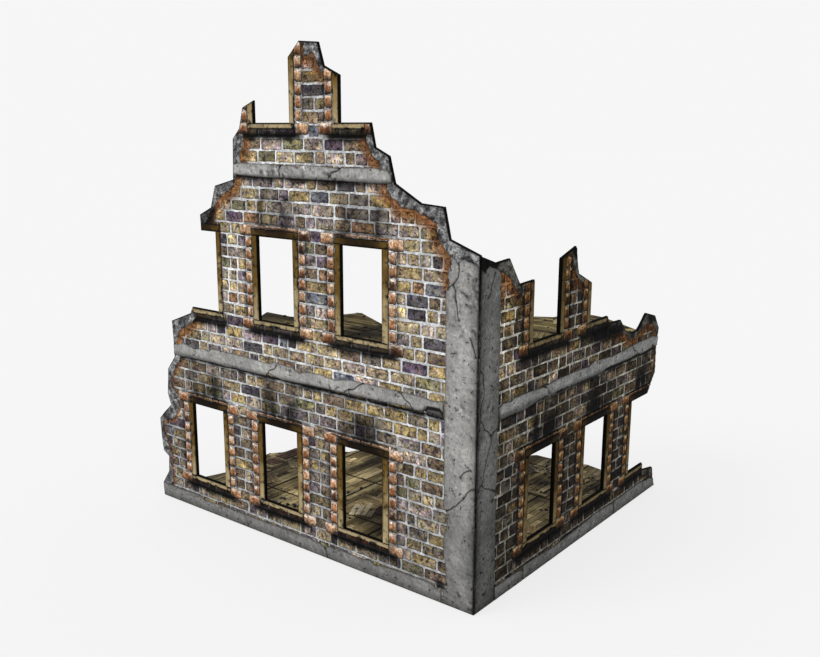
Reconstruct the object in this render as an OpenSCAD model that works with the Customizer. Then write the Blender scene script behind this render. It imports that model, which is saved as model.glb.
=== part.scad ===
// Corner of a shelled town house for tabletop games, built up from thin board layers.
// The drawing's zero is the foot of the outer corner: the front wall runs along -X from
// it and the side wall along +Y. Wall outlines are [along the wall, up] and floor
// outlines are [left along the front wall, back along the side wall], in millimetres.
// The finished model is shifted so that its origin is the centre of its footprint.

/* [Board layers] */
// Thickness of the walls' dark core card
core_t = 0.6; // [0.5:0.05:0.9]
// Thickness of the floors' dark core board
floor_t = 1; // [0.8:0.05:1.1]
// Thickness of the facing sheets glued to the cores
facing_t = 0.15; // [0.1:0.05:0.25]
// Width of bare core that shows around every cut edge
edge_line = 0.3; // [0.2:0.05:0.5]

/* [Windows] */
// Width of a window opening
window_w = 13.9; // [13:0.1:14.2]
// Height of a window opening
window_h = 24.4; // [23:0.1:25]
// Distance from one window to the next along a wall
bay_w = 32.4; // [32:0.1:32.8]
// Distance from the outer corner to the first opening in the front wall
front_first_jamb = 30.6; // [30:0.1:31]
// Distance from the outer corner to the first opening in the side wall
side_first_jamb = 25.6; // [25:0.1:26]
// Height of the ground-floor sills
sill_z = 11.6; // [11:0.1:12]
// Height from one storey's sills to the next storey's
storey_h = 56.2; // [55.8:0.1:56.4]

/* [Window trim] */
// Width of the timber jambs
jamb_w = 2.2; // [1.8:0.1:2.4]
// Height of the timber sills
sill_h = 1.3; // [1:0.1:1.6]
// Height of the timber lintels
lintel_h = 1.9; // [1.5:0.1:2.2]
// Width of the brick strip beside a frame
quoin_w = 2.7; // [2.2:0.1:2.8]
// Width of the long bricks at a surround's four corners
corner_quoin_w = 4.9; // [4.4:0.1:5]
// About how high one brick of a surround is, with its mortar joint
course_h = 3.4; // [3.2:0.05:3.5]
// How far a brick surround reaches below and above an opening
surround_reach = 3.25; // [3:0.05:3.4]
// Height of the thin brick course over a lintel
head_course_h = 0.8; // [0.6:0.1:0.9]

/* [Relief of the applied pieces] */
// How far timber frames stand proud of the brick facing
frame_relief = 0.25; // [0.2:0.05:0.4]
// How far brick surrounds stand proud
quoin_relief = 0.3; // [0.2:0.05:0.4]
// How far pilasters stand proud
pilaster_relief = 0.3; // [0.2:0.05:0.4]
// How far plinths and bands stand proud
band_relief = 0.4; // [0.4:0.05:0.6]

/* [Masonry trim] */
// Width of the corner pilaster on the front wall
front_pilaster_w = 9.9; // [9.6:0.1:9.9]
// Width of the corner pilaster on the side wall
side_pilaster_w = 9.1; // [8.8:0.1:9.1]

/* [Floors and joints] */
// Height of the underside of the upper floor board
upper_floor_z = 55.2; // [54.5:0.05:55.3]
// Width of the floor tabs that pass through the walls
tab_w = 12; // [8:0.5:14]
// Play on each side of a tab in its slot
tab_play = 0.05; // [0.02:0.01:0.1]
// Height of one finger of the corner joint
finger_h = 8; // [6:0.5:12]
// Width and height of the battens that carry the upper floor
ledge_w = 3; // [2:0.5:3.5]
// Length of the batten on the front wall
front_ledge_len = 104; // [90:1:106]
// Length of the batten on the side wall
side_ledge_len = 94; // [80:1:96]
// Width of the square post inside the corner
post_w = 4; // [3:0.5:5]

/* [Hidden] */
EPS = 0.01;
ALL = 400; // longer than any side of the model
PLAY = 0.1; // gap between neighbouring trim pieces
BAND_GAP = 0.3; // gap between a pilaster and the bands that butt against it
QUOIN_STEP = 0.3; // how much narrower every other brick of a surround is

core_back = facing_t + core_t;
wall_t = core_back + facing_t;

// Broken outlines of the two walls, from the outer corner along the ground and back over
// the top. Window openings are cut out of them, which leaves the broken windows open.
FRONT_BREAK = [
    [0, 0], [127.5, 0], [127.8, 4.7], [124.6, 9.2], [124.1, 14.7], [126.8, 16.2],
    [127.4, 20.5], [127.8, 27.4], [125.2, 30], [121.5, 33.2], [122.9, 37.1],
    [122.3, 42.4], [122, 45.5], [118.3, 50], [118.2, 52], [118.7, 62], [109, 65.7],
    [107.9, 67.8], [102, 92.2], [102.2, 97], [97, 99.4], [94.8, 105.9], [86.6, 108],
    [86.1, 119.5], [83.2, 122.5], [81.6, 128.2], [76.9, 130.1], [63, 141],
    [58.8, 145], [51.9, 144.4], [50, 138.4], [44.5, 135.9], [34, 124], [32.6, 117.9],
    [28, 115.8], [26.2, 109.1], [18, 104.6], [10.8, 104.1], [9, 96.4], [0, 93.2]
];
SIDE_BREAK = [
    [0, 0], [113.2, 0], [112.2, 1.6], [110.6, 7.5], [102.2, 9], [101.8, 11.6],
    [102.4, 36], [108.1, 42.4], [107.7, 51.2], [108.3, 54.1], [109, 57.6],
    [105.4, 62.3], [98, 64.3], [92.1, 59.7], [87.2, 59.5], [83, 61], [78.9, 65.1],
    [70.8, 65.4], [69.6, 67.8], [58, 79.6], [49.9, 83.1], [47.8, 91], [39.5, 88.5],
    [25.6, 84.4], [18.5, 84.1], [13.3, 91.2], [7.2, 90.8], [0, 93.2]
];

// Edges of the sound brickwork. Between them and the broken outlines lies torn rubble.
FRONT_BRICKWORK = [
    [0, 0], [124, 0], [123.9, 3.7], [122, 6.3], [122.2, 10.2], [123.1, 13.2],
    [122.3, 15.5], [123.2, 17.8], [124.5, 21], [125.9, 24.2], [126.2, 26.6],
    [122.3, 28.1], [119.1, 29.5], [117.8, 32.1], [116.5, 35.1], [116.4, 37.2],
    [118.3, 38.2], [119.8, 39.3], [120.6, 41.9], [118.8, 44.9], [116.5, 47.9],
    [114.8, 50.6], [115.6, 52.5], [117.3, 54.8], [115.8, 56.4], [115.2, 58.4],
    [113.5, 60], [110.9, 61.3], [108.3, 62.9], [106.2, 64.8], [106.6, 67.8],
    [100.8, 92.2], [100.8, 93.6], [98.4, 95.9], [96.9, 97.8], [94.4, 100.6],
    [92.5, 102.7], [91.1, 103.6], [87.9, 104.9], [86.6, 105.9], [85.2, 107.9],
    [84.4, 111], [82.3, 112.8],
    [83.1, 113.8], [83, 115.9], [81.7, 117.3], [81.5, 119.4], [81.5, 126.5],
    [76.9, 130], [63, 140.8], [59.2, 144.4], [57.1, 144.4], [57.1, 141], [55.3, 141.2],
    [54, 141.8], [52.6, 140.5], [51.9, 138.4], [50.4, 136.5], [49.4, 137.4],
    [44.5, 135.6], [36, 124], [34.2, 122.8], [33.8, 121.1], [35.1, 121], [35.5, 119.9],
    [34.8, 118.2], [33.8, 116.4], [32.9, 115], [31.2, 114.5], [30.9, 112.8],
    [28.3, 110.5], [28.9, 107.4], [27, 105.5], [25.4, 104.8], [24.1, 103.4],
    [21.9, 103], [19.7, 103.1], [18.1, 102], [16, 101.6], [14.7, 100.7], [13.2, 99.6],
    [12.6, 96.5], [10.7, 94.2], [8.6, 92], [8.4, 84], [0, 84]
];
SIDE_BRICKWORK = [
    [0, 0], [111.4, 0], [111.2, 3.2], [107.6, 4.6], [106.4, 6.2], [102.3, 7],
    [101.4, 9], [101, 11.6], [101.5, 36], [102.8, 37.9], [104.2, 39.3], [104.9, 41.6],
    [106, 43.4], [106.9, 46], [106.6, 50.3], [106.9, 52.9], [107.3, 54.8],
    [106.4, 56.7], [104.7, 58.6], [103.5, 59.8], [100.3, 60.5], [97.2, 60.3],
    [94.3, 58.9], [92, 58.5], [91.2, 57.6], [87, 57.2], [84.6, 58.3], [83, 59.7],
    [80, 60.8], [77.8, 61.2], [75.6, 62.3], [71, 62.6], [69.4, 67.8], [58, 79.4],
    [53.5, 80.8], [52.7, 79.4], [51.1, 80.8], [49.5, 81.6], [48.5, 82.8], [47.2, 84.4],
    [46, 85.1], [45.6, 89.3], [39.5, 88], [25.6, 84], [20.4, 83.4],
    [20.2, 80.4], [18.2, 81.5], [16.2, 82.8], [14.6, 84.7], [13.5, 86.2], [11.6, 87.3],
    [8.8, 88.4], [8.6, 82], [0, 82]
];

// Ragged edges and tops of the corner pilasters, from the foot upwards and over to the
// corner, as [past the pilaster's width, up].
FRONT_PILASTER_EDGE = [
    [0, 0], [-0.2, 4.1], [-1.3, 5], [-1.7, 6.3], [-1, 7.2], [-1.1, 10.1], [-0.6, 12.7],
    [-0.2, 15], [-0.2, 19.6], [-1, 21.6], [-1.6, 25.6], [-1, 26.2], [-0.1, 27.1],
    [0, 50], [-0.2, 60], [0, 82.9], [-0.1, 83.9], [-0.8, 85.2], [-1.1, 86.2],
    [-0.5, 87.1], [-0.8, 89.3], [-1.4, 90.9], [-2, 92.3], [-2.7, 91.8], [-3.4, 90.8],
    [-4.3, 91.5], [-5.5, 92], [-6.3, 91.5], [-7.6, 91.3], [-9.6, 90.6]
];
SIDE_PILASTER_EDGE = [
    [0, 0], [0, 4.5], [-0.3, 7.9], [0.1, 10.6], [0.2, 13], [-0.1, 15.5], [0.2, 17.4],
    [0, 20.5], [-0.1, 26.1], [0.2, 27.4], [-0.2, 28.4], [-1, 29.8], [-0.3, 30.4],
    [-0.7, 31.6], [0.1, 32.8], [0.2, 45], [-0.5, 47.4], [0.1, 50], [0, 70],
    [-0.1, 87.8], [-0.3, 88.3], [-2.4, 89.4], [-4.5, 90], [-5.3, 90.4], [-6.5, 89.8],
    [-7.2, 88.9], [-8.2, 89.5], [-8.8, 89.5]
];

// Crumbled upper edges of the plinths, from their far ends back to the corner pilasters.
FRONT_PLINTH_EDGE = [
    [125, 4.8], [119, 4.6], [113.7, 4.9], [108.6, 4.8], [106.1, 4], [97.7, 4.2],
    [58.4, 4.4], [53.9, 4.1], [52.1, 3.3], [49.5, 4.5], [38, 4.3], [35, 4.7], [33, 3.9],
    [29.9, 4.5], [24.3, 4.8], [14.1, 4.9], [12.7, 4.4], [12.1, 3.8], [10.8, 4.5]
];
SIDE_PLINTH_EDGE = [
    [111.2, 3.2], [107.6, 4.3], [105.1, 4.3], [99.2, 5.2], [85.3, 4.9], [80.4, 5],
    [79.9, 3.8], [78, 4.9], [66.7, 5.1], [54.3, 4.4], [42.1, 3.9], [30.7, 4.5],
    [24.2, 4.6], [23.7, 3.4], [20, 4.2]
];

// Crumbled outlines of the bands, along their lower edges and back over the top.
FRONT_STOREY_BAND = [
    [10.2, 51.2], [13.9, 51.6], [16.5, 52], [18.4, 51.6], [20.4, 51.6], [21.7, 52.3],
    [24.4, 51.9], [31.2, 51.7], [53.1, 51.6], [67.5, 51.1], [70.9, 51.5], [72.9, 52.1],
    [74.2, 52.1], [75.1, 51.2], [86.5, 51.1], [89.2, 51.6], [90.6, 50.9], [98.1, 51.3],
    [110.2, 51.1], [115.3, 50.8], [120, 51.4], [120, 54.6], [117.5, 54.4],
    [112.9, 55.5], [107, 54.4], [103.5, 55.2], [100.7, 54.7], [98.7, 55.7], [84, 55.6],
    [75.8, 55.2], [72.8, 55.1], [71.1, 56], [63.7, 55.4], [60.9, 54.4], [57.7, 55.2],
    [53, 55.4], [47, 54.7], [41.1, 55.8], [25, 55.7], [17.8, 55.6], [13.6, 55.1],
    [10.2, 55.6]
];
SIDE_STOREY_BAND = [
    [9.4, 50.5], [22.5, 50.1], [26.1, 50.6], [30.3, 51], [33, 51.3], [35.2, 50.5],
    [39.7, 51.2], [47.2, 50.9], [66, 50.8], [69.9, 51.6], [87, 51.4], [92.2, 52],
    [94.6, 51.2], [102.4, 51.8], [103.8, 52.9], [105.6, 51.8], [110, 51.9],
    [110, 54.3], [103.4, 55.7], [87.9, 55.5], [82.1, 54.9], [73.7, 54.6], [61.6, 55.4],
    [57.9, 54.5], [51.7, 54.7], [38.3, 54.7], [32.8, 54.1], [24.8, 54.5], [16.3, 54.6],
    [15.4, 54], [11, 54.4], [9.4, 53.6]
];
FRONT_UPPER_BAND = [
    [26.9, 109.3], [28.3, 108.9], [34.2, 108.9], [44.5, 109.1], [75, 109.1],
    [83.4, 109.4], [85.9, 109.6], [85.9, 112.4], [83.2, 112.8], [62.9, 112.7],
    [59.9, 112.2], [58.3, 112.8], [42.7, 112.5], [32.5, 112.7], [28.3, 112.1],
    [27.3, 111.2]
];

// Broken outlines of the two floors. They start where the walls' inner faces meet.
GROUND_BREAK = [
    [wall_t, wall_t], [126.8, wall_t], [127.5, 17.8], [124.7, 26.9], [127.5, 48.6],
    [124.1, 52.8], [123.8, 59], [104.7, 68.7], [103.7, 71.9], [95.6, 73.5], [88, 83],
    [76, 86], [70, 96], [58, 99], [46.3, 111.1], [40.5, 111.1], [36.6, 114],
    [31.4, 111.1], [26.6, 114], [20.1, 112.4], [8, 113.4], [wall_t, 111]
];
UPPER_BREAK = [
    [wall_t, wall_t], [117, wall_t], [118.4, 11], [115.5, 22], [121.5, 39.5],
    [127, 49.2], [111.8, 48.6], [102, 64.2], [98.8, 70], [82, 60.6], [71, 55],
    [62, 68], [55, 84], [45.4, 104.7], [39.9, 107.6], [39.2, 110.8], [30.8, 120.5],
    [25.3, 119.2], [10.4, 109.2], [7.1, 106.9], [wall_t, 104]
];

// Middles of the floor tabs along each wall, clear of the windows above them.
FRONT_TABS = [20, 53.8, 86.2, 109];
SIDE_TABS = [16, 49, 81, 99];

// Each window as [bay, storey], counted from the outer corner and from the ground.
FRONT_WINDOWS = [[0, 0], [1, 0], [2, 0], [0, 1], [1, 1], [2, 1], [0, 2], [1, 2]];
SIDE_WINDOWS = [[0, 0], [1, 0], [2, 0], [0, 1], [1, 1]];
// The windows in front that have brick surrounds. The broken one at the far end has none.
FRONT_SURROUNDS = [for (w = FRONT_WINDOWS) if (w != [2, 1]) w];

// Bricks that fill the broken ends of two sills, as [wall, window, lower corner, size].
SILL_END_BRICKS = [["front", [0, 2], [33, 121], [2.7, 4]], ["side", [1, 1], [69, 64], [2.5, 5]]];

STOREY_NAMES = ["ground", "first", "top"];

BASE_NODES = [
    "front_core", "side_core", "front_brick_facing", "side_brick_facing",
    "front_broken_edge", "side_broken_edge", "front_pilaster", "side_pilaster",
    "front_plinth", "side_plinth", "front_storey_band", "side_storey_band",
    "front_upper_band", "front_lining", "side_lining", "front_inner_frames",
    "side_inner_frames", "ground_floor_board", "ground_planking",
    "upper_floor_board", "upper_planking", "front_ledge", "side_ledge", "corner_post"
];

reach_x = max([for (p = FRONT_BREAK) p[0]]);
reach_y = max([for (p = UPPER_BREAK) p[1]]);
shift = [(reach_x - band_relief) / 2, (band_relief - reach_y) / 2, 0];

core_colour = [0.07, 0.06, 0.05];
brick_colour = [0.56, 0.49, 0.36];
rubble_colour = [0.30, 0.30, 0.30];
concrete_colour = [0.56, 0.56, 0.55];
timber_colour = [0.58, 0.52, 0.36];
quoin_colour = [0.72, 0.45, 0.30];
plaster_colour = [0.62, 0.59, 0.52];
plank_colour = [0.45, 0.40, 0.28];

// A window's node name, such as front_ground_frame_1.
function node_name(wall, window, piece) =
    str(wall, "_", STOREY_NAMES[window[1]], "_", piece, "_", window[0] + 1);

// The lower corner of a window's opening that is nearer the building's corner.
function window_at(wall, window) = [
    (wall == "front" ? front_first_jamb : side_first_jamb) + window[0] * bay_w,
    sill_z + window[1] * storey_h
];

function break_of(wall) = wall == "front" ? FRONT_BREAK : SIDE_BREAK;
function windows_of(wall) = wall == "front" ? FRONT_WINDOWS : SIDE_WINDOWS;
function left_of(v) = [-v[1], v[0]] / norm(v);

// A corner of an outline moved in by d, where a, b and c are points in turn.
function inset_corner(a, b, c, d) =
    let (n = left_of(b - a), m = left_of(c - b))
    b + (n + m) * d / (1 + n * m);

// An anticlockwise outline moved in by d all round.
function inset(points, d) =
    let (n = len(points))
    [for (i = [0:n - 1]) inset_corner(points[(i + n - 1) % n], points[i], points[(i + 1) % n], d)];

// Lays what is drawn as [along, up] on a wall, between two depths below its face.
module on_wall(wall, near, far) {
    if (wall == "front")
        translate(shift + [0, far, 0]) rotate([90, 0, 0]) linear_extrude(far - near)
            mirror([1, 0]) children();
    else
        translate(shift + [-far, 0, 0]) rotate([90, 0, 90]) linear_extrude(far - near)
            children();
}

// Lays what is drawn in plan between two heights.
module on_plan(low, high) {
    translate(shift + [0, 0, low]) linear_extrude(high - low) mirror([1, 0]) children();
}

// Every opening of a wall, each grown by a margin.
module openings(wall, margin = 0) {
    for (w = windows_of(wall))
        translate(window_at(wall, w) - [margin, margin])
            square([window_w + 2 * margin, window_h + 2 * margin]);
}

// The part of a wall that a layer of facing may cover.
module facing_area(wall) {
    difference() {
        polygon(inset(break_of(wall), edge_line));
        openings(wall, edge_line);
    }
}

// Slots for the tabs of both floors. The lower ones are open notches in the foot.
module tab_slots(wall) {
    for (x = wall == "front" ? FRONT_TABS : SIDE_TABS) {
        translate([x - tab_w / 2 - tab_play, -EPS])
            square([tab_w + 2 * tab_play, floor_t + EPS]);
        translate([x - tab_w / 2 - tab_play, upper_floor_z])
            square([tab_w + 2 * tab_play, floor_t]);
    }
}

// The bites that one wall leaves at the corner for the other wall's fingers.
module finger_gaps(phase) {
    corner_h = FRONT_BREAK[len(FRONT_BREAK) - 1][1];
    for (k = [phase:2:ceil(corner_h / finger_h)])
        translate([-EPS, k * finger_h]) square([core_back + EPS, finger_h]);
}

module wall_core(wall, phase) {
    color(core_colour) on_wall(wall, facing_t, core_back) difference() {
        polygon(break_of(wall));
        openings(wall);
        translate([-EPS, -EPS]) square([facing_t + EPS, ALL]);
        finger_gaps(phase);
        tab_slots(wall);
    }
}

module front_core() { wall_core("front", 0); }
module side_core() { wall_core("side", 1); }

module brick_facing(wall, brickwork) {
    color(brick_colour) on_wall(wall, 0, facing_t) intersection() {
        facing_area(wall);
        polygon(brickwork);
    }
}

module broken_edge(wall, brickwork) {
    color(rubble_colour) on_wall(wall, 0, facing_t) difference() {
        facing_area(wall);
        polygon(brickwork);
    }
}

module pilaster(wall, width, edge) {
    outline = [for (p = edge) [width + p[0], p[1]]];
    color(concrete_colour) on_wall(wall, -pilaster_relief, 0) intersection() {
        facing_area(wall);
        polygon(concat(outline, [[edge_line, 0]]));
    }
}

module band(wall, outline) {
    color(concrete_colour) on_wall(wall, -band_relief, 0) intersection() {
        facing_area(wall);
        polygon(outline);
    }
}

// A plinth from beside the corner pilaster to past the wall's far end.
module plinth(wall, pilaster_w, edge) {
    near = pilaster_w + BAND_GAP;
    near_top = edge[len(edge) - 1][1];
    ends = [[near, near_top], [near, 0], [ALL, 0], [ALL, edge[0][1]]];
    band(wall, concat(edge, ends));
}

// Everything that a window's timber frame covers, with its opening left in.
module frame_block(wall, window, margin = 0) {
    rim = edge_line + jamb_w + margin;
    translate(window_at(wall, window) - [rim, edge_line + sill_h + margin])
        square([window_w + 2 * rim, window_h + 2 * edge_line + sill_h + lintel_h + 2 * margin]);
}

module sill_end_brick(wall, window, margin = 0) {
    for (brick = SILL_END_BRICKS)
        if (brick[0] == wall && brick[1] == window)
            translate(brick[2] - [margin, margin]) square(brick[3] + 2 * [margin, margin]);
}

module frame(wall, window, near, far) {
    color(timber_colour) on_wall(wall, near, far) intersection() {
        facing_area(wall);
        difference() {
            frame_block(wall, window);
            sill_end_brick(wall, window, PLAY);
        }
    }
}

// A strip of bricks up each side of a frame, with long bricks at its four corners and a
// thin course over the lintel.
module surround_area(wall, window) {
    rim = edge_line + jamb_w + PLAY;
    whole_h = window_h + 2 * surround_reach;
    courses = round(whole_h / course_h);
    rise = whole_h / courses;
    difference() {
        translate(window_at(wall, window) - [0, surround_reach]) {
            for (k = [0:courses - 1]) {
                corner = k == 0 || k == courses - 1;
                w = corner ? corner_quoin_w : quoin_w - (k % 2) * QUOIN_STEP;
                translate([-rim - w, k * rise]) square([w + EPS, rise]);
                translate([window_w + rim - EPS, k * rise]) square([w + EPS, rise]);
            }
            translate([-rim, whole_h - head_course_h])
                square([window_w + 2 * rim, head_course_h]);
        }
        frame_block(wall, window, PLAY);
    }
}

module surround(wall, window) {
    color(quoin_colour) on_wall(wall, -quoin_relief, 0) intersection() {
        facing_area(wall);
        union() {
            surround_area(wall, window);
            sill_end_brick(wall, window);
        }
    }
}

module lining(wall, from) {
    color(plaster_colour) on_wall(wall, core_back, wall_t) difference() {
        facing_area(wall);
        translate([-EPS, -EPS]) square([from + EPS, ALL]);
        tab_slots(wall);
    }
}

module inner_frames(wall) {
    for (w = windows_of(wall)) frame(wall, w, wall_t, wall_t + frame_relief);
}

module floor_board(outline, low) {
    reach = wall_t - facing_t;
    color(core_colour) on_plan(low, low + floor_t) {
        polygon(outline);
        for (x = FRONT_TABS) translate([x - tab_w / 2, facing_t]) square([tab_w, reach + EPS]);
        for (y = SIDE_TABS) translate([facing_t, y - tab_w / 2]) square([reach + EPS, tab_w]);
    }
}

// The sheet of floorboards on a floor, cut back round the corner post if there is one.
module planking(outline, low, post = 0) {
    color(plank_colour) on_plan(low, low + facing_t) difference() {
        polygon(inset(outline, edge_line));
        if (post > 0) square(wall_t + post + PLAY);
    }
}

// A batten along a wall's inner face, under the upper floor.
module ledge(wall, length) {
    color(timber_colour) on_wall(wall, wall_t, wall_t + ledge_w)
        translate([wall_t + post_w, upper_floor_z - ledge_w]) square([length, ledge_w]);
}

module corner_post() {
    color(timber_colour) on_plan(floor_t, upper_floor_z)
        translate([wall_t, wall_t]) square(post_w);
}

front_core();
side_core();
brick_facing("front", FRONT_BRICKWORK);  // front_brick_facing
brick_facing("side", SIDE_BRICKWORK);  // side_brick_facing
broken_edge("front", FRONT_BRICKWORK);  // front_broken_edge
broken_edge("side", SIDE_BRICKWORK);  // side_broken_edge
pilaster("front", front_pilaster_w, FRONT_PILASTER_EDGE);  // front_pilaster
pilaster("side", side_pilaster_w, SIDE_PILASTER_EDGE);  // side_pilaster
plinth("front", front_pilaster_w, FRONT_PLINTH_EDGE);  // front_plinth
plinth("side", side_pilaster_w, SIDE_PLINTH_EDGE);  // side_plinth
band("front", FRONT_STOREY_BAND);  // front_storey_band
band("side", SIDE_STOREY_BAND);  // side_storey_band
band("front", FRONT_UPPER_BAND);  // front_upper_band
lining("front", core_back);  // front_lining
lining("side", wall_t);  // side_lining
inner_frames("front");  // front_inner_frames
inner_frames("side");  // side_inner_frames
floor_board(GROUND_BREAK, 0);  // ground_floor_board
planking(GROUND_BREAK, floor_t, post_w);  // ground_planking
floor_board(UPPER_BREAK, upper_floor_z);  // upper_floor_board
planking(UPPER_BREAK, upper_floor_z + floor_t);  // upper_planking
ledge("front", front_ledge_len);  // front_ledge
ledge("side", side_ledge_len);  // side_ledge
corner_post();
for (w = FRONT_WINDOWS)
    frame("front", w, -frame_relief, 0);
for (w = SIDE_WINDOWS)
    frame("side", w, -frame_relief, 0);
for (w = FRONT_SURROUNDS)
    surround("front", w);
for (w = SIDE_WINDOWS)
    surround("side", w);
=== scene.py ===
# The looks of a ruined building corner for tabletop games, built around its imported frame.
# Drawings are made on flat sheets, in millimetres: a runs along a sheet, b up or across it
# and d out of it. Colours are written as they look under the studio light, from 0 to 255.

import functools
import math
import random

import bpy
import numpy as np
from mathutils import Matrix, Vector, geometry


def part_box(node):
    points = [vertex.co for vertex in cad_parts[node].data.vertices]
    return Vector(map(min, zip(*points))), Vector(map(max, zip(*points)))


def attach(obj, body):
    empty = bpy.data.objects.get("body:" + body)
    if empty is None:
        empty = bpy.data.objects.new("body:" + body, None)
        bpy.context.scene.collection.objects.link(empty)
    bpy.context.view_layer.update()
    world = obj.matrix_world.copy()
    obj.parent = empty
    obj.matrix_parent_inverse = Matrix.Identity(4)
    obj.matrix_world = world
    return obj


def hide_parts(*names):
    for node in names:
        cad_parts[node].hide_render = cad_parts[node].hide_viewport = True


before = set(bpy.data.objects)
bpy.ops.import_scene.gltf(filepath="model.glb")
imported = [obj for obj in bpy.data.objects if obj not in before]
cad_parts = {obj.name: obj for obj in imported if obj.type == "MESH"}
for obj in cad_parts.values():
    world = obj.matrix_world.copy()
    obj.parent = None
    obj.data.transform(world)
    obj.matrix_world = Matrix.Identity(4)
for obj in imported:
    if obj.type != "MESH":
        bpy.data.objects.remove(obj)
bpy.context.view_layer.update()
MM = 0.001

# The windows, their trim, the reliefs, the sheets and the floor's grid, as the solids have them.
WINDOW_W = 13.9
WINDOW_H = 24.4
EDGE_LINE = 0.3
JAMB_W = 2.2
SILL_H = 1.3
LINTEL_H = 1.9
RIM = EDGE_LINE + JAMB_W
QUOIN_W = 2.7
CORNER_QUOIN_W = 4.9
SURROUND_REACH = 3.25
SURROUND_COURSES = 9
HEAD_COURSE_H = 0.8
FRAME_RELIEF = 0.25
QUOIN_RELIEF = 0.3
BAND_RELIEF = 0.4
PILASTER_RELIEF = 0.3
SHEET_T = 0.15
GRID = 25.4

# The hairline between neighbouring blocks.
GAP = 0.05

# How the brick facing is laid: its courses, and the height of one of its mortar lines.
BRICK_PITCH = 3.48
MORTAR_LINE = 57.4
JOINT = 0.58
BRICK_RELIEF = 0.15
BRICK_FOOT = -0.05
STRETCHER = (5.6, 8.0)
HEADER = (2.9, 3.9)
HEADER_SHARE = 0.28
BARE_ZONE = (1.0, 4.2)
# A crack in a casting goes no deeper than this height, over the bricks that run under it.
BURIED = BRICK_RELIEF * 1.2

# The section of a block, as (share of the way in, share of its height, brightness). The
# brightness is painted shade, darkest at the foot where the block meets its bed.
BRICK_SHAPE = ((0, 0, 0.4), (0, 0.5, 0.6), (0.1, 0.92, 0.88), (0.26, 1, 1))
QUOIN_SHAPE = ((0, 0, 0.25), (0, 0.3, 0.45), (0.13, 0.66, 0.95), (0.34, 0.88, 1), (0.6, 1, 1))
BOARD_SHAPE = ((0, 0, 0.35), (0, 0.7, 0.55), (0.07, 1, 1))

# The studio's light on white, the palest that a print gets, and how light each sheet's
# print is beside the front wall's, with painted light and shade in it: the side wall's is
# darkened as painted shade, the ground floor's is raised as painted light, because it lies in
# shadow, and the upper floor's is lowered as painted shade, because it is lit more.
LIGHT = 1.35
PAPER = 0.8
PAINTED_LIGHT_AND_SHADE = {
    "front": (1, 1, 1), "side": (0.45, 0.43, 0.37), "inner": (0.85, 0.85, 0.85),
    "ground": (3.3, 3.2, 3.75), "upper": (0.56, 0.53, 0.52),
}

BRICK_COLOURS = [
    ((162, 150, 122), 16), ((168, 152, 114), 12), ((150, 140, 122), 14), ((132, 118, 100), 13),
    ((144, 134, 136), 12), ((108, 96, 110), 4), ((90, 88, 92), 5), ((136, 130, 122), 12),
    ((128, 126, 102), 4), ((190, 178, 166), 9), ((146, 118, 92), 3), ((116, 120, 128), 4),
]
# How much one brick's brightness differs from the next one's, and within a brick.
BRICK_SPREAD = {"front": (0.92, 1.2), "side": (0.65, 1.2)}
BRICK_BLOTCH = {"front": 0.7, "side": 1.3}
SHADOWED = (128, 78, 54)
BARE = (138, 94, 56)
MORTAR = (228, 229, 230)
CONCRETE = {"front": (166, 165, 162), "side": (172, 176, 186)}
TIMBER = (182, 163, 124)
TIMBER_STAIN = (104, 80, 34)
TIMBER_CHAR = (26, 18, 11)
TERRACOTTA = [((176, 124, 86), 5), ((194, 150, 114), 4), ((148, 98, 64), 4), ((76, 50, 34), 2)]
# The colour of the painted highlight along a quoin's top and edges.
QUOIN_HIGHLIGHT = (240, 222, 206)
FLOOR_BOARDS = [((140, 128, 86), 6), ((118, 106, 68), 5), ((90, 78, 48), 4), ((172, 158, 112), 3)]
LOOSE_BOARDS = [((158, 146, 104), 5), ((170, 160, 124), 3), ((132, 116, 78), 3), ((80, 60, 46), 3)]
FLOOR_BED = (17.5, 15.5, 11)
STONES = [((96, 98, 106), 4), ((44, 46, 54), 7), ((172, 172, 174), 1), ((74, 64, 58), 3)]
PLASTER = (182, 176, 158)


# --- Colours ---

def linear(colour):
    """A 0 to 255 colour as the reflectance that looks so under the studio light."""
    c = np.asarray(colour, float) / 255
    return np.where(c <= 0.04045, c / 12.92, ((c + 0.055) / 1.055) ** 2.4) / LIGHT


def pick(rng, choices):
    """One of a list of (value, weight) pairs."""
    values, weights = zip(*choices)
    return rng.choices(values, weights)[0]


def pick_shade(rng, choices, spread):
    """One of a list of weighted colours, its brightness drawn from a spread."""
    return np.array(pick(rng, choices), float) * rng.uniform(*spread)


def mix(low, high, share):
    """Colours between low and high, one for each value of share."""
    share = np.asarray(share, float)[:, None]
    return np.asarray(low, float) * (1 - share) + np.asarray(high, float) * share


def step(x, start, end):
    """0 before start, 1 after end, and smooth between them."""
    t = np.clip((np.asarray(x, float) - start) / (end - start), 0, 1)
    return t * t * (3 - 2 * t)


def fade(x, start, end):
    """1 before start, 0 after end, and smooth between them."""
    return 1 - step(x, start, end)


# --- Noise ---

def lattice(i, j, seed):
    """A scrambled number from 0 to 1 for each pair of whole numbers."""
    h = (i * 374761393 + j * 668265263 + seed * 974634777) & 0xFFFFFFFF
    h = ((h ^ (h >> 13)) * 1274126177) & 0xFFFFFFFF
    return ((h ^ (h >> 16)) & 0xFFFF) / 65535.0


def noise(a, b, size, seed):
    """Smooth noise from 0 to 1 whose lumps are about size mm across."""
    x, y = np.asarray(a, float) / size, np.asarray(b, float) / size
    i, j = np.floor(x).astype(np.int64), np.floor(y).astype(np.int64)
    u, v = step(x - i, 0, 1), step(y - j, 0, 1)
    low = lattice(i, j, seed) * (1 - u) + lattice(i + 1, j, seed) * u
    high = lattice(i, j + 1, seed) * (1 - u) + lattice(i + 1, j + 1, seed) * u
    return low * (1 - v) + high * v


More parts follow.
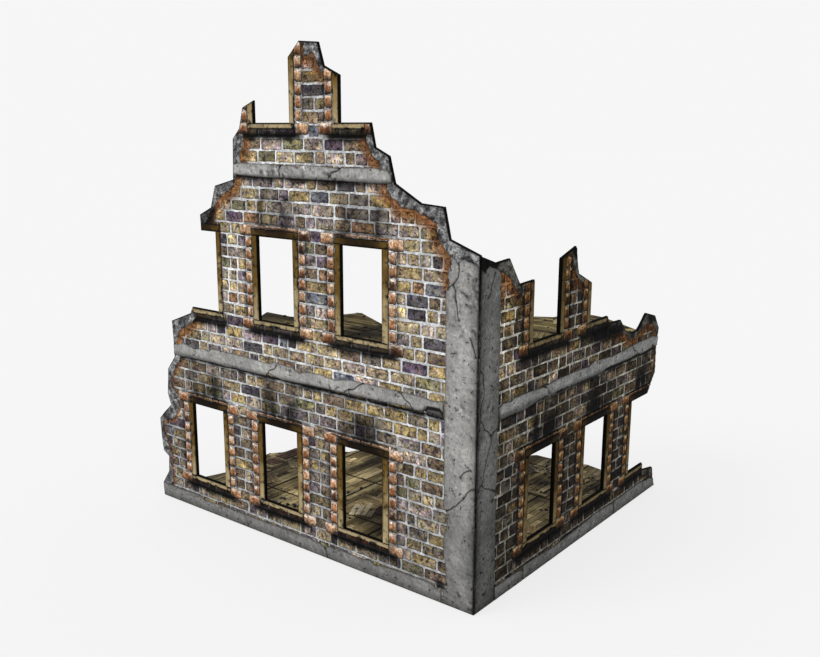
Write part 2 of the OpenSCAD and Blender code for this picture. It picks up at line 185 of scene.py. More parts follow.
def rough(a, b, size, seed, octaves=3):
    """Noise from 0 to 1 with finer and finer lumps."""
    total = sum(noise(a, b, size / 2 ** k, seed + k) / 2 ** k for k in range(octaves))
    return total / sum(1 / 2 ** k for k in range(octaves))


# --- Flat sheets to draw on ---

class Sheet:
    """A flat face of the model. kind says how its print is shaded."""

    def __init__(self, kind, origin, a, b, out):
        self.kind = kind
        self.origin = np.array(origin, float)
        self.axes = np.array([a, b, out], float)
        self.flip = np.dot(np.cross(a, b), out) < 0

    def to_world(self, points):
        return self.origin + np.asarray(points, float) @ self.axes * MM

    def to_sheet(self, points):
        return (np.asarray(points, float) - self.origin) @ self.axes.T / MM


CORNER_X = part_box("side_brick_facing")[1].x
CORNER_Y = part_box("front_brick_facing")[0].y
FRONT_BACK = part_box("front_lining")[1].y
SIDE_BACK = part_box("side_lining")[0].x
LEFT, BACK, UP = (-1, 0, 0), (0, 1, 0), (0, 0, 1)
FRONT = Sheet("front", (CORNER_X, CORNER_Y, 0), LEFT, UP, (0, -1, 0))
SIDE = Sheet("side", (CORNER_X, CORNER_Y, 0), BACK, UP, (1, 0, 0))
WALL_SHEETS = {"front": FRONT, "side": SIDE}
FRONT_IN = Sheet("inner", (CORNER_X, FRONT_BACK, 0), LEFT, UP, (0, 1, 0))
SIDE_IN = Sheet("inner", (SIDE_BACK, CORNER_Y, 0), BACK, UP, (-1, 0, 0))


@functools.cache
def floor_sheet(name):
    """The sheet on top of a floor's board, under its planking."""
    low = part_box(name + "_planking")[0].z
    return Sheet(name, (CORNER_X, CORNER_Y, low), LEFT, BACK, UP)


def sides_of(ring):
    """A ring's sides, as pairs of neighbouring points."""
    return zip(ring, ring[1:] + ring[:1])


def area(ring):
    """The area of a ring of points, positive if it runs anticlockwise."""
    return sum(p[0] * q[1] - q[0] * p[1] for p, q in sides_of(ring)) / 2


@functools.cache
def outlines_of(node, sheet):
    """The outlines of a node's outermost flat face, each with the solid on its left."""
    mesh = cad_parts[node].data
    points = sheet.to_sheet([v.co for v in mesh.vertices])
    top = points[:, 2].max()
    edges = {}
    for face in mesh.polygons:
        if points[list(face.vertices), 2].min() < top - 0.01:
            continue
        ring = [tuple(np.round(points[i, :2], 3)) for i in face.vertices]
        if area(ring) < 0:
            ring.reverse()
        for p, q in sides_of(ring):
            if p in edges.get(q, []):
                edges[q].remove(p)
            else:
                edges.setdefault(p, []).append(q)
    rings = []
    while any(edges.values()):
        start = next(p for p in edges if edges[p])
        ring, here = [start], edges[start].pop()
        while here != start:
            ring.append(here)
            here = edges[here].pop()
        rings.append(ring)
    return sorted(rings, key=area, reverse=True)


# --- Outline geometry ---

# Points nearer than this are one point, and strips narrower than this are left out.
SAME_POINT = 0.02
THINNEST_STRIP = 0.35


def between(p, q, share):
    """The point that lies a share of the way from p to q."""
    return (p[0] + (q[0] - p[0]) * share, p[1] + (q[1] - p[1]) * share)


def resample(ring, spacing):
    """A ring with extra points, so that none of its edges is longer than spacing."""
    out = []
    for p, q in sides_of(ring):
        n = max(1, math.ceil(math.dist(p, q) / spacing))
        out += [(p[0] + (q[0] - p[0]) * k / n, p[1] + (q[1] - p[1]) * k / n) for k in range(n)]
    return out


def inset(ring, d):
    """An anticlockwise ring moved in by d."""
    pts = np.array(ring, float)
    run = np.roll(pts, -1, 0) - pts
    length = np.maximum(np.linalg.norm(run, axis=1), 1e-9)
    left = np.stack([-run[:, 1], run[:, 0]], 1) / length[:, None]
    before = np.roll(left, 1, 0)
    k = d / np.maximum(0.35, 1 + (left * before).sum(1))
    return [tuple(p) for p in pts + (left + before) * k[:, None]]


def cut(ring, p, q):
    """The parts of an anticlockwise ring that lie left of the line from p to q."""
    run = (q[0] - p[0], q[1] - p[1])
    sides = [run[0] * (s[1] - p[1]) - run[1] * (s[0] - p[0]) for s in ring]
    if min(sides) >= 0:
        return [ring]
    first = sides.index(min(sides))
    order = [(first + k) % len(ring) for k in range(len(ring) + 1)]
    chains, chain = [], []
    for i, j in zip(order, order[1:]):
        if sides[i] >= 0:
            chain.append(ring[i])
        if (sides[i] >= 0) != (sides[j] >= 0):
            chain.append(between(ring[i], ring[j], sides[i] / (sides[i] - sides[j])))
            if sides[i] >= 0:
                chains.append(chain)
                chain = []

    def along(s):
        return run[0] * s[0] + run[1] * s[1]
    leaving = sorted(range(len(chains)), key=lambda c: along(chains[c][-1]))
    entering = sorted(range(len(chains)), key=lambda c: along(chains[c][0]))
    following = dict(zip(leaving, entering))
    parts = []
    while following:
        start, at = following.popitem()
        part = list(chains[start])
        while at != start:
            part += chains[at]
            at = following.pop(at)
        parts.append(part)
    return parts


def clip(ring, window):
    """The parts of an anticlockwise ring inside a convex anticlockwise window."""
    parts = [ring]
    for p, q in sides_of(window):
        parts = [part for whole in parts for part in cut(whole, p, q)]
    parts = [[p for i, p in enumerate(part) if math.dist(p, part[i - 1]) > SAME_POINT] for part in parts]
    return [part for part in parts if len(part) >= 3]


def box_ring(a0, b0, a1, b1):
    """A rectangle as an anticlockwise ring."""
    return [(a0, b0), (a1, b0), (a1, b1), (a0, b1)]


def turned_ring(a, b, length, width, angle):
    """A rectangle about a point, turned by an angle."""
    c, s = math.cos(angle), math.sin(angle)
    corners = [(-1, -1), (1, -1), (1, 1), (-1, 1)]
    return [(a + x * length / 2 * c - y * width / 2 * s, b + x * length / 2 * s + y * width / 2 * c)
            for x, y in corners]


def without(rect, hole):
    """What is left of a rectangle (a0, b0, a1, b1) round another, as rectangles."""
    a0, b0, a1, b1 = rect
    h0, k0, h1, k1 = hole
    if h0 >= a1 or h1 <= a0 or k0 >= b1 or k1 <= b0:
        return [rect]
    parts = [(a0, b0, h0, b1), (h1, b0, a1, b1)]
    parts += [(max(a0, h0), b0, min(a1, h1), k0), (max(a0, h0), k1, min(a1, h1), b1)]
    return [p for p in parts if min(p[2] - p[0], p[3] - p[1]) > THINNEST_STRIP]


def inside(points, rings):
    """Which points lie inside the rings, holes left out."""
    x, y = points[:, 0], points[:, 1]
    odd = np.zeros(len(points), bool)
    for ring in rings:
        for (x0, y0), (x1, y1) in sides_of(ring):
            if y0 != y1:
                odd ^= ((y0 > y) != (y1 > y)) & (x < (x1 - x0) * (y - y0) / (y1 - y0) + x0)
    return odd


def distance(points, lines, closed):
    """How far each point lies from the nearest of some lines or rings."""
    best = np.full(len(points), 1e6)
    for line in lines:
        line = list(line) + ([line[0]] if closed else [])
        for p, q in zip(line, line[1:]):
            run = np.subtract(q, p)
            t = np.clip(((points - p) @ run) / max(run @ run, 1e-12), 0, 1)
            best = np.minimum(best, np.linalg.norm(points - p - t[:, None] * run, axis=1))
    return best


def fill(rings, spacing, lines, margin):
    """Points and triangles that fill the rings, with edges along the open lines and a row of
    points a margin inside the rings."""
    verts, edges = [], []
    for ring in rings:
        ring = resample(ring, spacing)
        n = len(verts)
        verts += ring
        edges += [(n + k, n + (k + 1) % len(ring)) for k in range(len(ring))]
    for ring in rings:
        ring = resample(inset(ring, margin), spacing)
        kept = inside(np.array(ring), rings) & (distance(np.array(ring), rings, True) > 0.7 * margin)
        verts += [p for p, k in zip(ring, kept) if k]
    for line in lines:
        n = len(verts)
        verts += list(line)
        edges += [(n + k, n + k + 1) for k in range(len(line) - 1)]
    outline = np.array(verts)
    low, high = outline.min(0), outline.max(0)
    a, b = np.meshgrid(np.arange(low[0], high[0], spacing), np.arange(low[1], high[1], spacing * 0.87))
    a[1::2] += spacing / 2
    grid = np.stack([a.ravel(), b.ravel()], 1)
    shake = np.stack([noise(grid[:, 0], grid[:, 1], 0.31, 5), noise(grid[:, 0], grid[:, 1], 0.31, 9)], 1)
    grid += (shake - 0.5) * spacing * 0.4
    grid = grid[inside(grid, rings)]
    grid = grid[distance(grid, rings, True) > max(0.5 * spacing, 1.3 * margin)]
    grid = grid[distance(grid, lines, False) > 0.5 * spacing]
    verts += [tuple(p) for p in grid]
    out = geometry.delaunay_2d_cdt([Vector(p) for p in verts], edges, [], 0, 1e-4)
    points = np.array([tuple(v) for v in out[0]])
    tris = np.array([f for f in out[2] if len(f) == 3])
    return points, tris[inside(points[tris].mean(1), rings)]


# --- Building meshes ---

# Blocks under this area, or with less area for each mm of outline, are left out.
SMALLEST_BLOCK = 0.35
THINNEST_BLOCK = 0.2

# A crack this wide or wider is wide, and the floor of any crack is this share of its width.
WIDE = 0.5
CRACK_FLOOR = 0.4


def into_scene(name, data):
    """A new object in the scene."""
    thing = bpy.data.objects.new(name, data)
    bpy.context.scene.collection.objects.link(thing)
    return thing


class Piece:
    """A mesh in the making on one sheet, with a tint and a grain direction at every point."""

    def __init__(self, sheet):
        self.sheet = sheet
        self.points, self.faces, self.tints, self.grains = [], [], [], []
        self.count = 0

    def add(self, points, faces, colours, grain=None):
        """Adds points drawn on the sheet. colours are 0 to 255; grain is [along, across, seed]."""
        points = np.asarray(points, float)
        self.points.append(self.sheet.to_world(points))
        # Each sheet's painted light and shade is multiplied in here.
        shaded = linear(colours) * np.array(PAINTED_LIGHT_AND_SHADE[self.sheet.kind])
        shaded = shaded * np.minimum(1, PAPER / np.maximum(shaded.max(axis=-1, keepdims=True), 1e-6))
        self.tints.append(np.broadcast_to(shaded, points.shape))
        self.grains.append(points.copy() if grain is None else np.asarray(grain, float))
        for face in faces:
            face = [int(i) + self.count for i in face]
            self.faces.append(face[::-1] if self.sheet.flip else face)
        self.count += len(points)

    def build(self, name, material, replaces=()):
        """Makes the object, which stands in for the CAD nodes that it replaces."""
        mesh = bpy.data.meshes.new(name)
        mesh.from_pydata(np.concatenate(self.points).tolist(), [], self.faces)
        tints = np.concatenate(self.tints).astype(np.float32)
        tint = mesh.attributes.new("tint", "FLOAT_COLOR", "POINT")
        tint.data.foreach_set("color", np.hstack([tints, np.ones((len(tints), 1), np.float32)]).ravel())
        grain = mesh.attributes.new("grain", "FLOAT_VECTOR", "POINT")
        grain.data.foreach_set("vector", np.concatenate(self.grains).astype(np.float32).ravel())
        mesh.materials.append(material)
        mesh.update()
        piece = into_scene(name, mesh)
        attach(piece, "root")
        if replaces:
            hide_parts(*replaces)


def band_faces(n, bands):
    """The faces between rings of n points that lie one over another."""
    return [(k * n + i, k * n + (i + 1) % n, (k + 1) * n + (i + 1) % n, (k + 1) * n + i)
            for k in range(bands) for i in range(n)]


def rim_edges(tris):
    """The edges that only one triangle uses, in its direction."""
    edges = {(a, b) for t in tris for a, b in ((t[0], t[1]), (t[1], t[2]), (t[2], t[0]))}
    return [(a, b) for a, b in edges if (b, a) not in edges]


def lines_at(line, width):
    """The lines that a mesh follows at a crack: its middle, its edges and, at a wide one, the
    edges of its floor."""
    lines = [line]
    for share in (-1, 1) if width < WIDE else (-1, -CRACK_FLOOR, CRACK_FLOOR, 1):
        shifted = []
        for before, p, after in zip(line, line[1:], line[2:]):
            run = np.subtract(after, before)
            across = np.array([-run[1], run[0]]) / max(np.linalg.norm(run), 1e-9)
            shifted.append(tuple(np.array(p) + share * across * width))
        lines.append([line[0]] + shifted + [line[-1]])
    return lines


def slab(piece, rings, base, height, colour, spacing, bevel, cracks=(), grain=None, edge_tone=0.62):
    """A closed slab. height and colour are functions of points [a, b]. cracks are lines with
    a width and a depth, and bevel is how far in and how far down its edge is rounded."""
    lines = [part for line, width, _ in cracks for part in lines_at(line, width)]
    points, tris = fill(rings, spacing, lines, bevel[0])
    edge = distance(points, rings, True)
    d = height(points) - bevel[1] * fade(edge, 0, bevel[0])
    colours = np.broadcast_to(np.asarray(colour(points), float), (len(points), 3)).copy()
    # The colour darkens towards the edge: a dark printed outline, and painted shade along the rounded
    # edge.
    colours *= (edge_tone + (1 - edge_tone) * step(edge, 0, bevel[0] * 1.5))[:, None]
    for line, width, depth in cracks:
        near = fade(distance(points, [line], False), CRACK_FLOOR * width, width)
        d = d - depth * near
        # A crack is painted dark along its floor: a printed crack line, and painted shade in the dent.
        colours *= (1 - 0.82 * near)[:, None]
    d = np.maximum(d, base + (BURIED if cracks else 0.03))
    n = len(points)
    front = np.column_stack([points, d])
    back = np.column_stack([points, np.full(n, base)])
    faces = [tuple(t) for t in tris] + [(t[2] + n, t[1] + n, t[0] + n) for t in tris]
    faces += [(b, a, a + n, b + n) for a, b in rim_edges(tris)]
    both = np.vstack([front, back])
    # The back face is painted half as light, as shade.
    colours = np.vstack([colours, colours * 0.5])
    piece.add(both, faces, colours, grain(both) if grain else None)


def worn_corners(ring, rng, most):
    """A ring with its corners broken off, each by up to most."""
    out = []
    for before, p, after in zip(ring[-1:] + ring[:-1], ring, ring[1:] + ring[:1]):
        for q in (before, after):
            run = math.dist(p, q)
            share = min(0.3, rng.uniform(0.15, 1) * most / max(run, 1e-6))
            out.append(between(p, q, share))
    return out


def block(piece, ring, base, top, colour, rng, shape, wobble, grain=None, spacing=1.1):
    """A closed block such as a brick or a board, with the section that shape gives. colour is a
    function of points [a, b] and of their share of the way in, and wobble is how uneven the
    outline is."""
    size = abs(area(ring))
    girth = sum(math.dist(p, q) for p, q in sides_of(ring))
    if size < SMALLEST_BLOCK or size / girth < THINNEST_BLOCK:
        return
    reach = 2 * size / girth
    ring = resample(ring, spacing)
    ring = [(a + rng.uniform(-wobble, wobble), b + rng.uniform(-wobble, wobble)) for a, b in ring]
    mid = tuple(np.mean(ring, axis=0))
    n = len(ring)
    points, shade, depth = [], [], []
    for way_in, lift, brightness in shape:
        if way_in <= 0.4:
            layer = inset(ring, way_in * reach)
        else:
            layer = [between(mid, p, 1 - way_in) for p in ring]
        uneven = 0.12 * (top - base) if way_in else 0
        points += [(a, b, base + (top - base) * lift - rng.uniform(0, uneven)) for a, b in layer]
        # Each layer of the section is painted darker towards the foot, as shade.
        shade += [brightness * rng.uniform(0.92, 1.08) for _ in layer]
        depth += [way_in] * n
    faces = band_faces(n, len(shape) - 1)
    crown = (len(shape) - 1) * n
    points += [(*mid, top - rng.uniform(0, 0.1) * (top - base)), (*mid, base)]
    # The middle of the crown is painted full bright, and the middle of the underside dark, as shade.
    shade += [1.0, 0.35]
    depth += [1, 1]
    faces += [(crown + i, crown + (i + 1) % n, crown + n) for i in range(n)]
    faces += [((i + 1) % n, i, crown + n + 1) for i in range(n)]
    points = np.array(points)
    colours = np.asarray(colour(points[:, :2], np.array(depth, float)), float)
    piece.add(points, faces, colours * np.array(shade)[:, None], grain(points) if grain else None)


def grain_along(direction, seed):
    """A grain that runs in a direction on the sheet."""
    c, s = math.cos(direction), math.sin(direction)

    def grain(points):
        along = points[:, 0] * c + points[:, 1] * s
        across = points[:, 1] * c - points[:, 0] * s
        return np.column_stack([along, across + seed * 7.0, np.full(len(points), seed * 3.0)])
    return grain


# --- Windows ---

def find_windows():
    """Every window as a dict of its names and places, read from the frames' solids."""
    found = []
    for node in sorted(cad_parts):
        if "_frame_" not in node:
            continue
        wall, storey, _, bay = node.split("_")
        sheet = WALL_SHEETS[wall]
        ground = sheet.to_sheet(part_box(f"{wall}_ground_frame_{bay}"))
        own = sheet.to_sheet(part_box(node))
        jamb = ground[:, 0].min() + RIM
        found.append({
            "wall": wall, "storey": storey, "bay": int(bay), "node": node,
            "surround": node.replace("_frame_", "_surround_"), "jamb": jamb,
            "middle": jamb + WINDOW_W / 2, "sill": own[:, 1].min() + EDGE_LINE + SILL_H,
        })
    return found


WINDOWS = find_windows()


def windows_of(wall):
    """The windows of one wall."""
    return [w for w in WINDOWS if w["wall"] == wall]


def opening(window, grow):
    """A window's opening as (a0, b0, a1, b1), made larger all round by grow."""
    a, b = window["jamb"], window["sill"]
    return (a - grow, b - grow, a + WINDOW_W + grow, b + WINDOW_H + grow)


def frame_box(window, grow=EDGE_LINE):
    """The outside of a window's timbers, whose opening is larger all round by grow."""
    left, low, right, high = opening(window, grow)
    return left - JAMB_W, low - SILL_H, right + JAMB_W, high + LINTEL_H


def surround_box(window):
    """The outside of a window's brick surround, but for its longer corner bricks."""
    left, _, right, _ = opening(window, RIM + QUOIN_W)
    _, low, _, high = opening(window, SURROUND_REACH)
    return left, low, right, high


def outside(a, b, box):
    """How far points lie outside a box (a0, b0, a1, b1)."""
    left, low, right, high = box
    return np.maximum.reduce([left - a, a - right, low - b, b - high])


# --- Soot and shadow in the print ---

# The usual height of each band's ragged lower edge, and the middle of the dark chip at the
# foot of the front wall.
BAND_FEET = {"front_storey_band": 51.3, "front_upper_band": 109.1, "side_storey_band": 51.1}
FOOT_CHIP = (10.7, 5.3)

# Places that fire has blackened, as (a, b, half width, half height, how black).
SCORCHES = {
    "front": [(99, 98, 4.5, 8, 0.55)],
    "side": [(3.5, 91.5, 5.5, 3.4, 0.85), (47.5, 89.8, 1.8, 2.6, 0.85), (103, 62.5, 6.5, 2.6, 0.65),
             (70, 62.4, 14, 2.8, 0.85)],
}


def unburnt(wall, points):
    """How light a wall is, from 0 to 1, under its scorches."""
    light = np.ones(len(points))
    for a, b, half_width, half_height, black in SCORCHES[wall]:
        reach = np.hypot((points[:, 0] - a) / half_width, (points[:, 1] - b) / half_height)
        light *= 1 - black * fade(reach, 0.5, 1.15)
    return light


def sill_shadow(wall, a, b, window, ragged):
    """How black the painted shadow is under a window's sill."""
    drop = window["sill"] - EDGE_LINE - SILL_H - b
    reach = WINDOW_W / 2 + (7 if wall == "side" else 5)
    across = fade(np.abs(a - window["middle"]) + ragged * 2.5, reach - 1.4, reach + 0.8)
    deepest = 0.97 if wall == "side" else 0.88
    onset = 0.6 + 0.4 * step(drop, 0.4, 1.5)
    return deepest * onset * across * step(drop, -0.9, -0.2) * fade(drop + ragged * 1.6, 2.1, 3.9)


def over_head(wall, a, b, window, ragged):
    """How smoky the print is over a window's head, in upright streaks."""
    rise = b - window["sill"] - WINDOW_H - LINTEL_H
    plume = step(rise, -0.5, 0.8) * fade(rise + ragged * 6, 4, 15)
    wide = fade(np.abs(a - window["middle"]) + ragged * 4, 4, 10)
    streaks = rough(a, b * 0.16, 2.6, 77)
    return (0.78 if wall == "side" else 0.66) * plume * wide * (0.35 + 0.65 * step(streaks, 0.35, 0.62))


def gap_shade(a, b, window):
    """How dark the painted shade is in the gap that worn timbers leave open."""
    return 0.85 * fade(outside(a, b, frame_box(window)), 0, 0.25)


def beside_bricks(wall, a, b, window):
    """How dark the print's shadow is round a brick surround."""
    near = outside(a, b, surround_box(window))
    deepest = 0.97 if wall == "side" else 0.4
    return deepest * step(near, -0.6, 0.0) * fade(near, 0.2, 1.1)


def soot_and_shadow(wall, points):
    """How light a wall is, from 0 to 1, under its soot and under the painted shadows of its sills and
    bands.
    """
    a, b = points.T
    ragged = rough(a, b, 2.6, 31) - 0.5
    light = unburnt(wall, points)
    for w in windows_of(wall):
        # A painted shadow under each sill.
        light *= 1 - sill_shadow(wall, a, b, w, ragged)
        light *= 1 - over_head(wall, a, b, w, ragged)
    # A painted shadow under each band's lower edge.
    for node in [node for node in BAND_FEET if node.startswith(wall)]:
        start, end = sorted(WALL_SHEETS[wall].to_sheet(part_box(node))[:, 0])
        drop = BAND_FEET[node] - b
        under = step(drop, -0.9, -0.1) * fade(drop + ragged * 1.8, 0.1, 1.9)
        light *= 1 - 0.88 * under * step(a, start - 1, start + 1) * fade(a, end - 1, end + 1)
    return light


def tone(wall, points):
    """How light the print is, from 0 to 1, under its painted soot and shadows."""
    a, b = points.T
    light = soot_and_shadow(wall, points) * (0.89 + 0.2 * rough(a, b, 17, 3, 2)) * (0.84 + 0.26 * step(b, 10, 75))
    for w in windows_of(wall):
        # Painted shade in the gaps round worn timbers.
        light *= 1 - gap_shade(a, b, w)
        if w["surround"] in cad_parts:
            light *= 1 - beside_bricks(wall, a, b, w)
    if wall == "side":
        light *= 0.76 + 0.08 * step(b, 30, 60) + 0.3 * fade(a, 12, 22) * step(b, 56, 64)
        light *= 1 + 0.15 * step(a, 62, 90)
    else:
        light *= 1 - 0.08 * step(b, 105, 118)
        chip = np.hypot(a - FOOT_CHIP[0], b - FOOT_CHIP[1])
        light *= 1 - 0.75 * fade(chip, 0.9, 2.2)
    return light


# --- Materials ---

def printed(name, layers, colour=None, grain=None, bump=0.06, bump_size=0.5, specular=0.06,
            contrast=1.0):
    """A matt printed surface, coloured by its tint or by one colour. Each layer is (size,
    from, to, low, high): where noise of that size in mm is below from, the colour is
    multiplied by low, and above to by high. grain is (length, width, low, high) for wood.
    A contrast over 1 makes the layers stronger."""
    material = bpy.data.materials.new(name)
    material.use_nodes = True
    tree = material.node_tree
    tree.nodes.clear()

    def node_of(kind, **inputs):
        """A new node, with each input set to a value or linked to another node's output."""
        node = tree.nodes.new("ShaderNode" + kind)
        for key, value in inputs.items():
            socket = node.inputs[key.replace("_", " ")]
            if isinstance(value, bpy.types.NodeSocket):
                tree.links.new(value, socket)
            else:
                socket.default_value = value
        return node

    def attribute(kept):
        """A node that reads what a mesh keeps at its points."""
        node = node_of("Attribute")
        node.attribute_name = kept
        return node

    place = node_of("TexCoord").outputs["Object"]

    def clouds(size, detail, roughness):
        """Noise over the object whose lumps are about size mm across."""
        return node_of("TexNoise", Vector=place, Scale=1 / (size * MM), Detail=detail,
                       Roughness=roughness).outputs["Fac"]

    def multiplied(result, source, start, end, low, high):
        """A colour times low where a source is below start, and times high above end."""
        share = node_of("MapRange", Value=source, From_Min=start, From_Max=end)
        blend = node_of("Mix", Factor=share.outputs["Result"])
        blend.data_type = "RGBA"
        for socket, value in ((6, low), (7, high)):
            blend.inputs[socket].default_value = (*np.broadcast_to(value, 3), 1)
        product = node_of("VectorMath")
        product.operation = "MULTIPLY"
        tree.links.new(result, product.inputs[0])
        tree.links.new(blend.outputs[2], product.inputs[1])
        return product.outputs["Vector"]

    if colour is None:
        result = attribute("tint").outputs["Color"]
    else:
        result = node_of("RGB").outputs[0]
        result.default_value = (*linear(colour), 1)
    for size, start, end, low, high in layers:
        low, high = np.power(low, contrast), np.power(high, contrast)
        result = multiplied(result, clouds(size, 3.0, 0.65), start, end, low, high)
    surface = clouds(bump_size, 4.0, 0.7)
    height = surface
    if grain:
        along, across, low, high = grain
        squeeze = node_of("Mapping", Vector=attribute("grain").outputs["Vector"],
                          Scale=(1 / along, 1 / across, 1))
        height = node_of("TexNoise", Vector=squeeze.outputs["Vector"], Scale=1.0, Detail=4.0,
                         Roughness=0.6).outputs["Fac"]
        result = multiplied(result, height, 0.3, 0.7, low, high)
    dull = node_of("MapRange", Value=surface, From_Min=0.3, From_Max=0.7, To_Min=0.7, To_Max=0.95)
    relief = node_of("Bump", Height=height, Strength=1.0, Distance=bump * MM)
    shader = node_of("BsdfPrincipled", Base_Color=result, Roughness=dull.outputs["Result"],
                     Specular_IOR_Level=specular, Normal=relief.outputs["Normal"])
    node_of("OutputMaterial", Surface=shader.outputs["BSDF"])
    return material


def make_materials():
    """All the materials, by name. The side wall's are shaded copies of the front's, with the stronger
    contrast of its painted shade.
    """
    ochre, mauve, cream = (1.2, 1.1, 0.78), (0.87, 0.8, 1.04), (1.5, 1.5, 1.48)
    brick = [
        (2.2, 0.42, 0.6, 0.62, 1.2), (1.5, 0.48, 0.57, 1, ochre), (1.7, 0.48, 0.57, 1, mauve),
        (1.3, 0.53, 0.6, 1, cream), (1.1, 0.53, 0.58, 1, 0.22), (0.6, 0.38, 0.62, 0.7, 1.34),
    ]
    mortar = [(3.5, 0.4, 0.6, 0.66, 1.08), (1.4, 0.42, 0.58, 0.74, 1.08), (0.6, 0.4, 0.6, 0.75, 1.15)]
    quoin = [(1.2, 0.42, 0.58, 0.72, 1.25), (0.5, 0.38, 0.62, 0.6, 1.4), (0.9, 0.57, 0.62, 1, 0.3)]
    concrete = [
        (5.0, 0.4, 0.6, 0.9, 1.1), (0.6, 0.38, 0.62, 0.82, 1.18), (1.3, 0.62, 0.65, 1, 0.3),
        (1.1, 0.62, 0.68, 1, 1.3),
    ]
    looks = {}
    # The side wall's looks are shaded copies, with stronger contrast.
    for wall, contrast in (("front", 1.0), ("side", 1.45)):
        looks[wall + "_brick"] = printed(wall + "_brick", brick, bump=0.14, contrast=contrast)
        looks[wall + "_mortar"] = printed(wall + "_mortar", mortar, bump=0.08, contrast=contrast)
        looks[wall + "_quoin"] = printed(wall + "_quoin", quoin, bump=0.14, contrast=contrast ** 0.5)
        looks[wall + "_concrete"] = printed(wall + "_concrete", concrete, bump=0.32, bump_size=1.1,
                                            contrast=contrast)
    return looks | {
        "rubble": printed("torn_rubble", [
            (1.4, 0.42, 0.58, 0.7, 1.3), (0.55, 0.38, 0.62, 0.45, 1.7), (0.9, 0.58, 0.63, 1, 0.35)],
            bump=0.4, bump_size=0.8),
        "timber": printed("worn_timber", [(4.0, 0.35, 0.65, 0.86, 1.12), (1.3, 0.66, 0.72, 1, 0.45)],
                          grain=(9.0, 0.3, 0.62, 1.3), bump=0.08),
        "floor": printed("old_floorboards", [
            (5.0, 0.35, 0.65, 0.72, 1.2), (0.5, 0.3, 0.7, 0.7, 1.3), (1.2, 0.64, 0.7, 1, 0.4)],
            grain=(6.0, 0.35, 0.5, 1.5), bump=0.08),
        "stone": printed("loose_stone", [(0.5, 0.3, 0.7, 0.6, 1.4)], bump=0.1),
        "plaster": printed("old_plaster", [
            (12.0, 0.35, 0.65, 0.8, 1.1), (2.5, 0.35, 0.65, 0.84, 1.12), (0.5, 0.3, 0.7, 0.8, 1.2),
            (1.5, 0.64, 0.72, 1, (0.66, 0.56, 0.42))], bump=0.06),
        "core": printed("stained_card_edge", [(0.5, 0.3, 0.7, 0.5, 1.6)], (9, 8, 7), bump=0.04,
                        specular=0.05),
        "batten": printed("sawn_batten", [(6.0, 0.35, 0.65, 0.8, 1.15), (0.8, 0.3, 0.7, 0.75, 1.2)],
                          (168, 136, 96)),
    }


# --- Brick facings ---

def brick_spans(rng, start, end):
    """Brick lengths that fill a run of a course exactly, as (from, to)."""
    at = start
    while at < end:
        length = rng.uniform(*(HEADER if rng.random() < HEADER_SHARE else STRETCHER))
        left = end - at
        if left - length < HEADER[0]:
            halved = left > 2 * HEADER[0] and rng.random() < 0.6
            length = left * rng.uniform(0.36, 0.64) if halved else left
        yield at, at + length
        at += length + JOINT * rng.uniform(0.75, 1.3)


def course_runs(start, end, low, high, holes):
    """The free runs of a course, as (a0, b0, a1, b1, in shadow). A run whose middle is in a
    hole is thinned to the strip left above or below it."""
    level = (low + high) / 2
    for h0, k0, h1, k1 in sorted(hole for hole in holes if hole[1] < level < hole[3]):
        if h0 > start:
            yield start, low, min(h0, end), high, False
        start = max(start, h1)
        if low < k0:
            yield h0, low, h1, k0, True
        if k1 < high:
            yield h0, k1, h1, high, False
    if start < end:
        yield start, low, end, high, False


def bared(wall, points):
    """How much of the print has come off beside a wall's broken edge, from 0 to 1. The bare
    strip is narrower on the ground floor."""
    broken = outlines_of(wall + "_broken_edge", WALL_SHEETS[wall])
    ragged = rough(*points.T, 1.6, 61) - 0.5
    reach = distance(points, broken, True) / (0.4 + 0.6 * step(points[:, 1], 44, 60))
    return fade(reach + ragged * 1.6, *BARE_ZONE)


def brick_colour(wall, base_colour, patch, light):
    """A brick's mottled colour. light is a function of points."""
    def colour(points, depth):
        blotch = 1 + BRICK_BLOTCH[wall] * (rough(*points.T, 1.8, patch, 2) - 0.5)
        painted = mix(base_colour, BARE, 0.9 * bared(wall, points))
        return painted * (blotch * light(points))[:, None]
    return colour


def lay_bricks(piece, wall, rings, holes, relief, light, seed):
    """Lays courses of irregular bricks over the area inside the rings, round the holes."""
    rng = random.Random(seed)
    holes = list(holes)
    outer = rings[0]
    low_a, high_a = min(p[0] for p in outer), max(p[0] for p in outer)
    top = max(p[1] for p in outer)
    course = MORTAR_LINE % BRICK_PITCH - BRICK_PITCH + JOINT / 2
    while course < top:
        height = BRICK_PITCH - JOINT
        for run in course_runs(low_a - rng.uniform(0, 5), high_a + 3, course, course + height, holes):
            start, low, end, high, shadowed = run
            for a0, a1 in brick_spans(rng, start, end):
                tilt = rng.uniform(-0.1, 0.1)
                parts = [(a0, low + tilt, a1, high + tilt + rng.uniform(-0.14, 0.1))]
                for hole in holes:
                    parts = [p for part in parts for p in without(part, hole)]
                for part in parts:
                    base_colour = np.array(SHADOWED if shadowed else pick(rng, BRICK_COLOURS), float)
                    base_colour *= rng.uniform(*BRICK_SPREAD[wall])
                    colour = brick_colour(wall, base_colour, rng.randrange(1000), light)
                    for ring in clip(outer, worn_corners(box_ring(*part), rng, 0.4)):
                        block(piece, ring, BRICK_FOOT, relief * rng.uniform(0.7, 1.15), colour, rng,
                              BRICK_SHAPE, 0.1)
        course += BRICK_PITCH


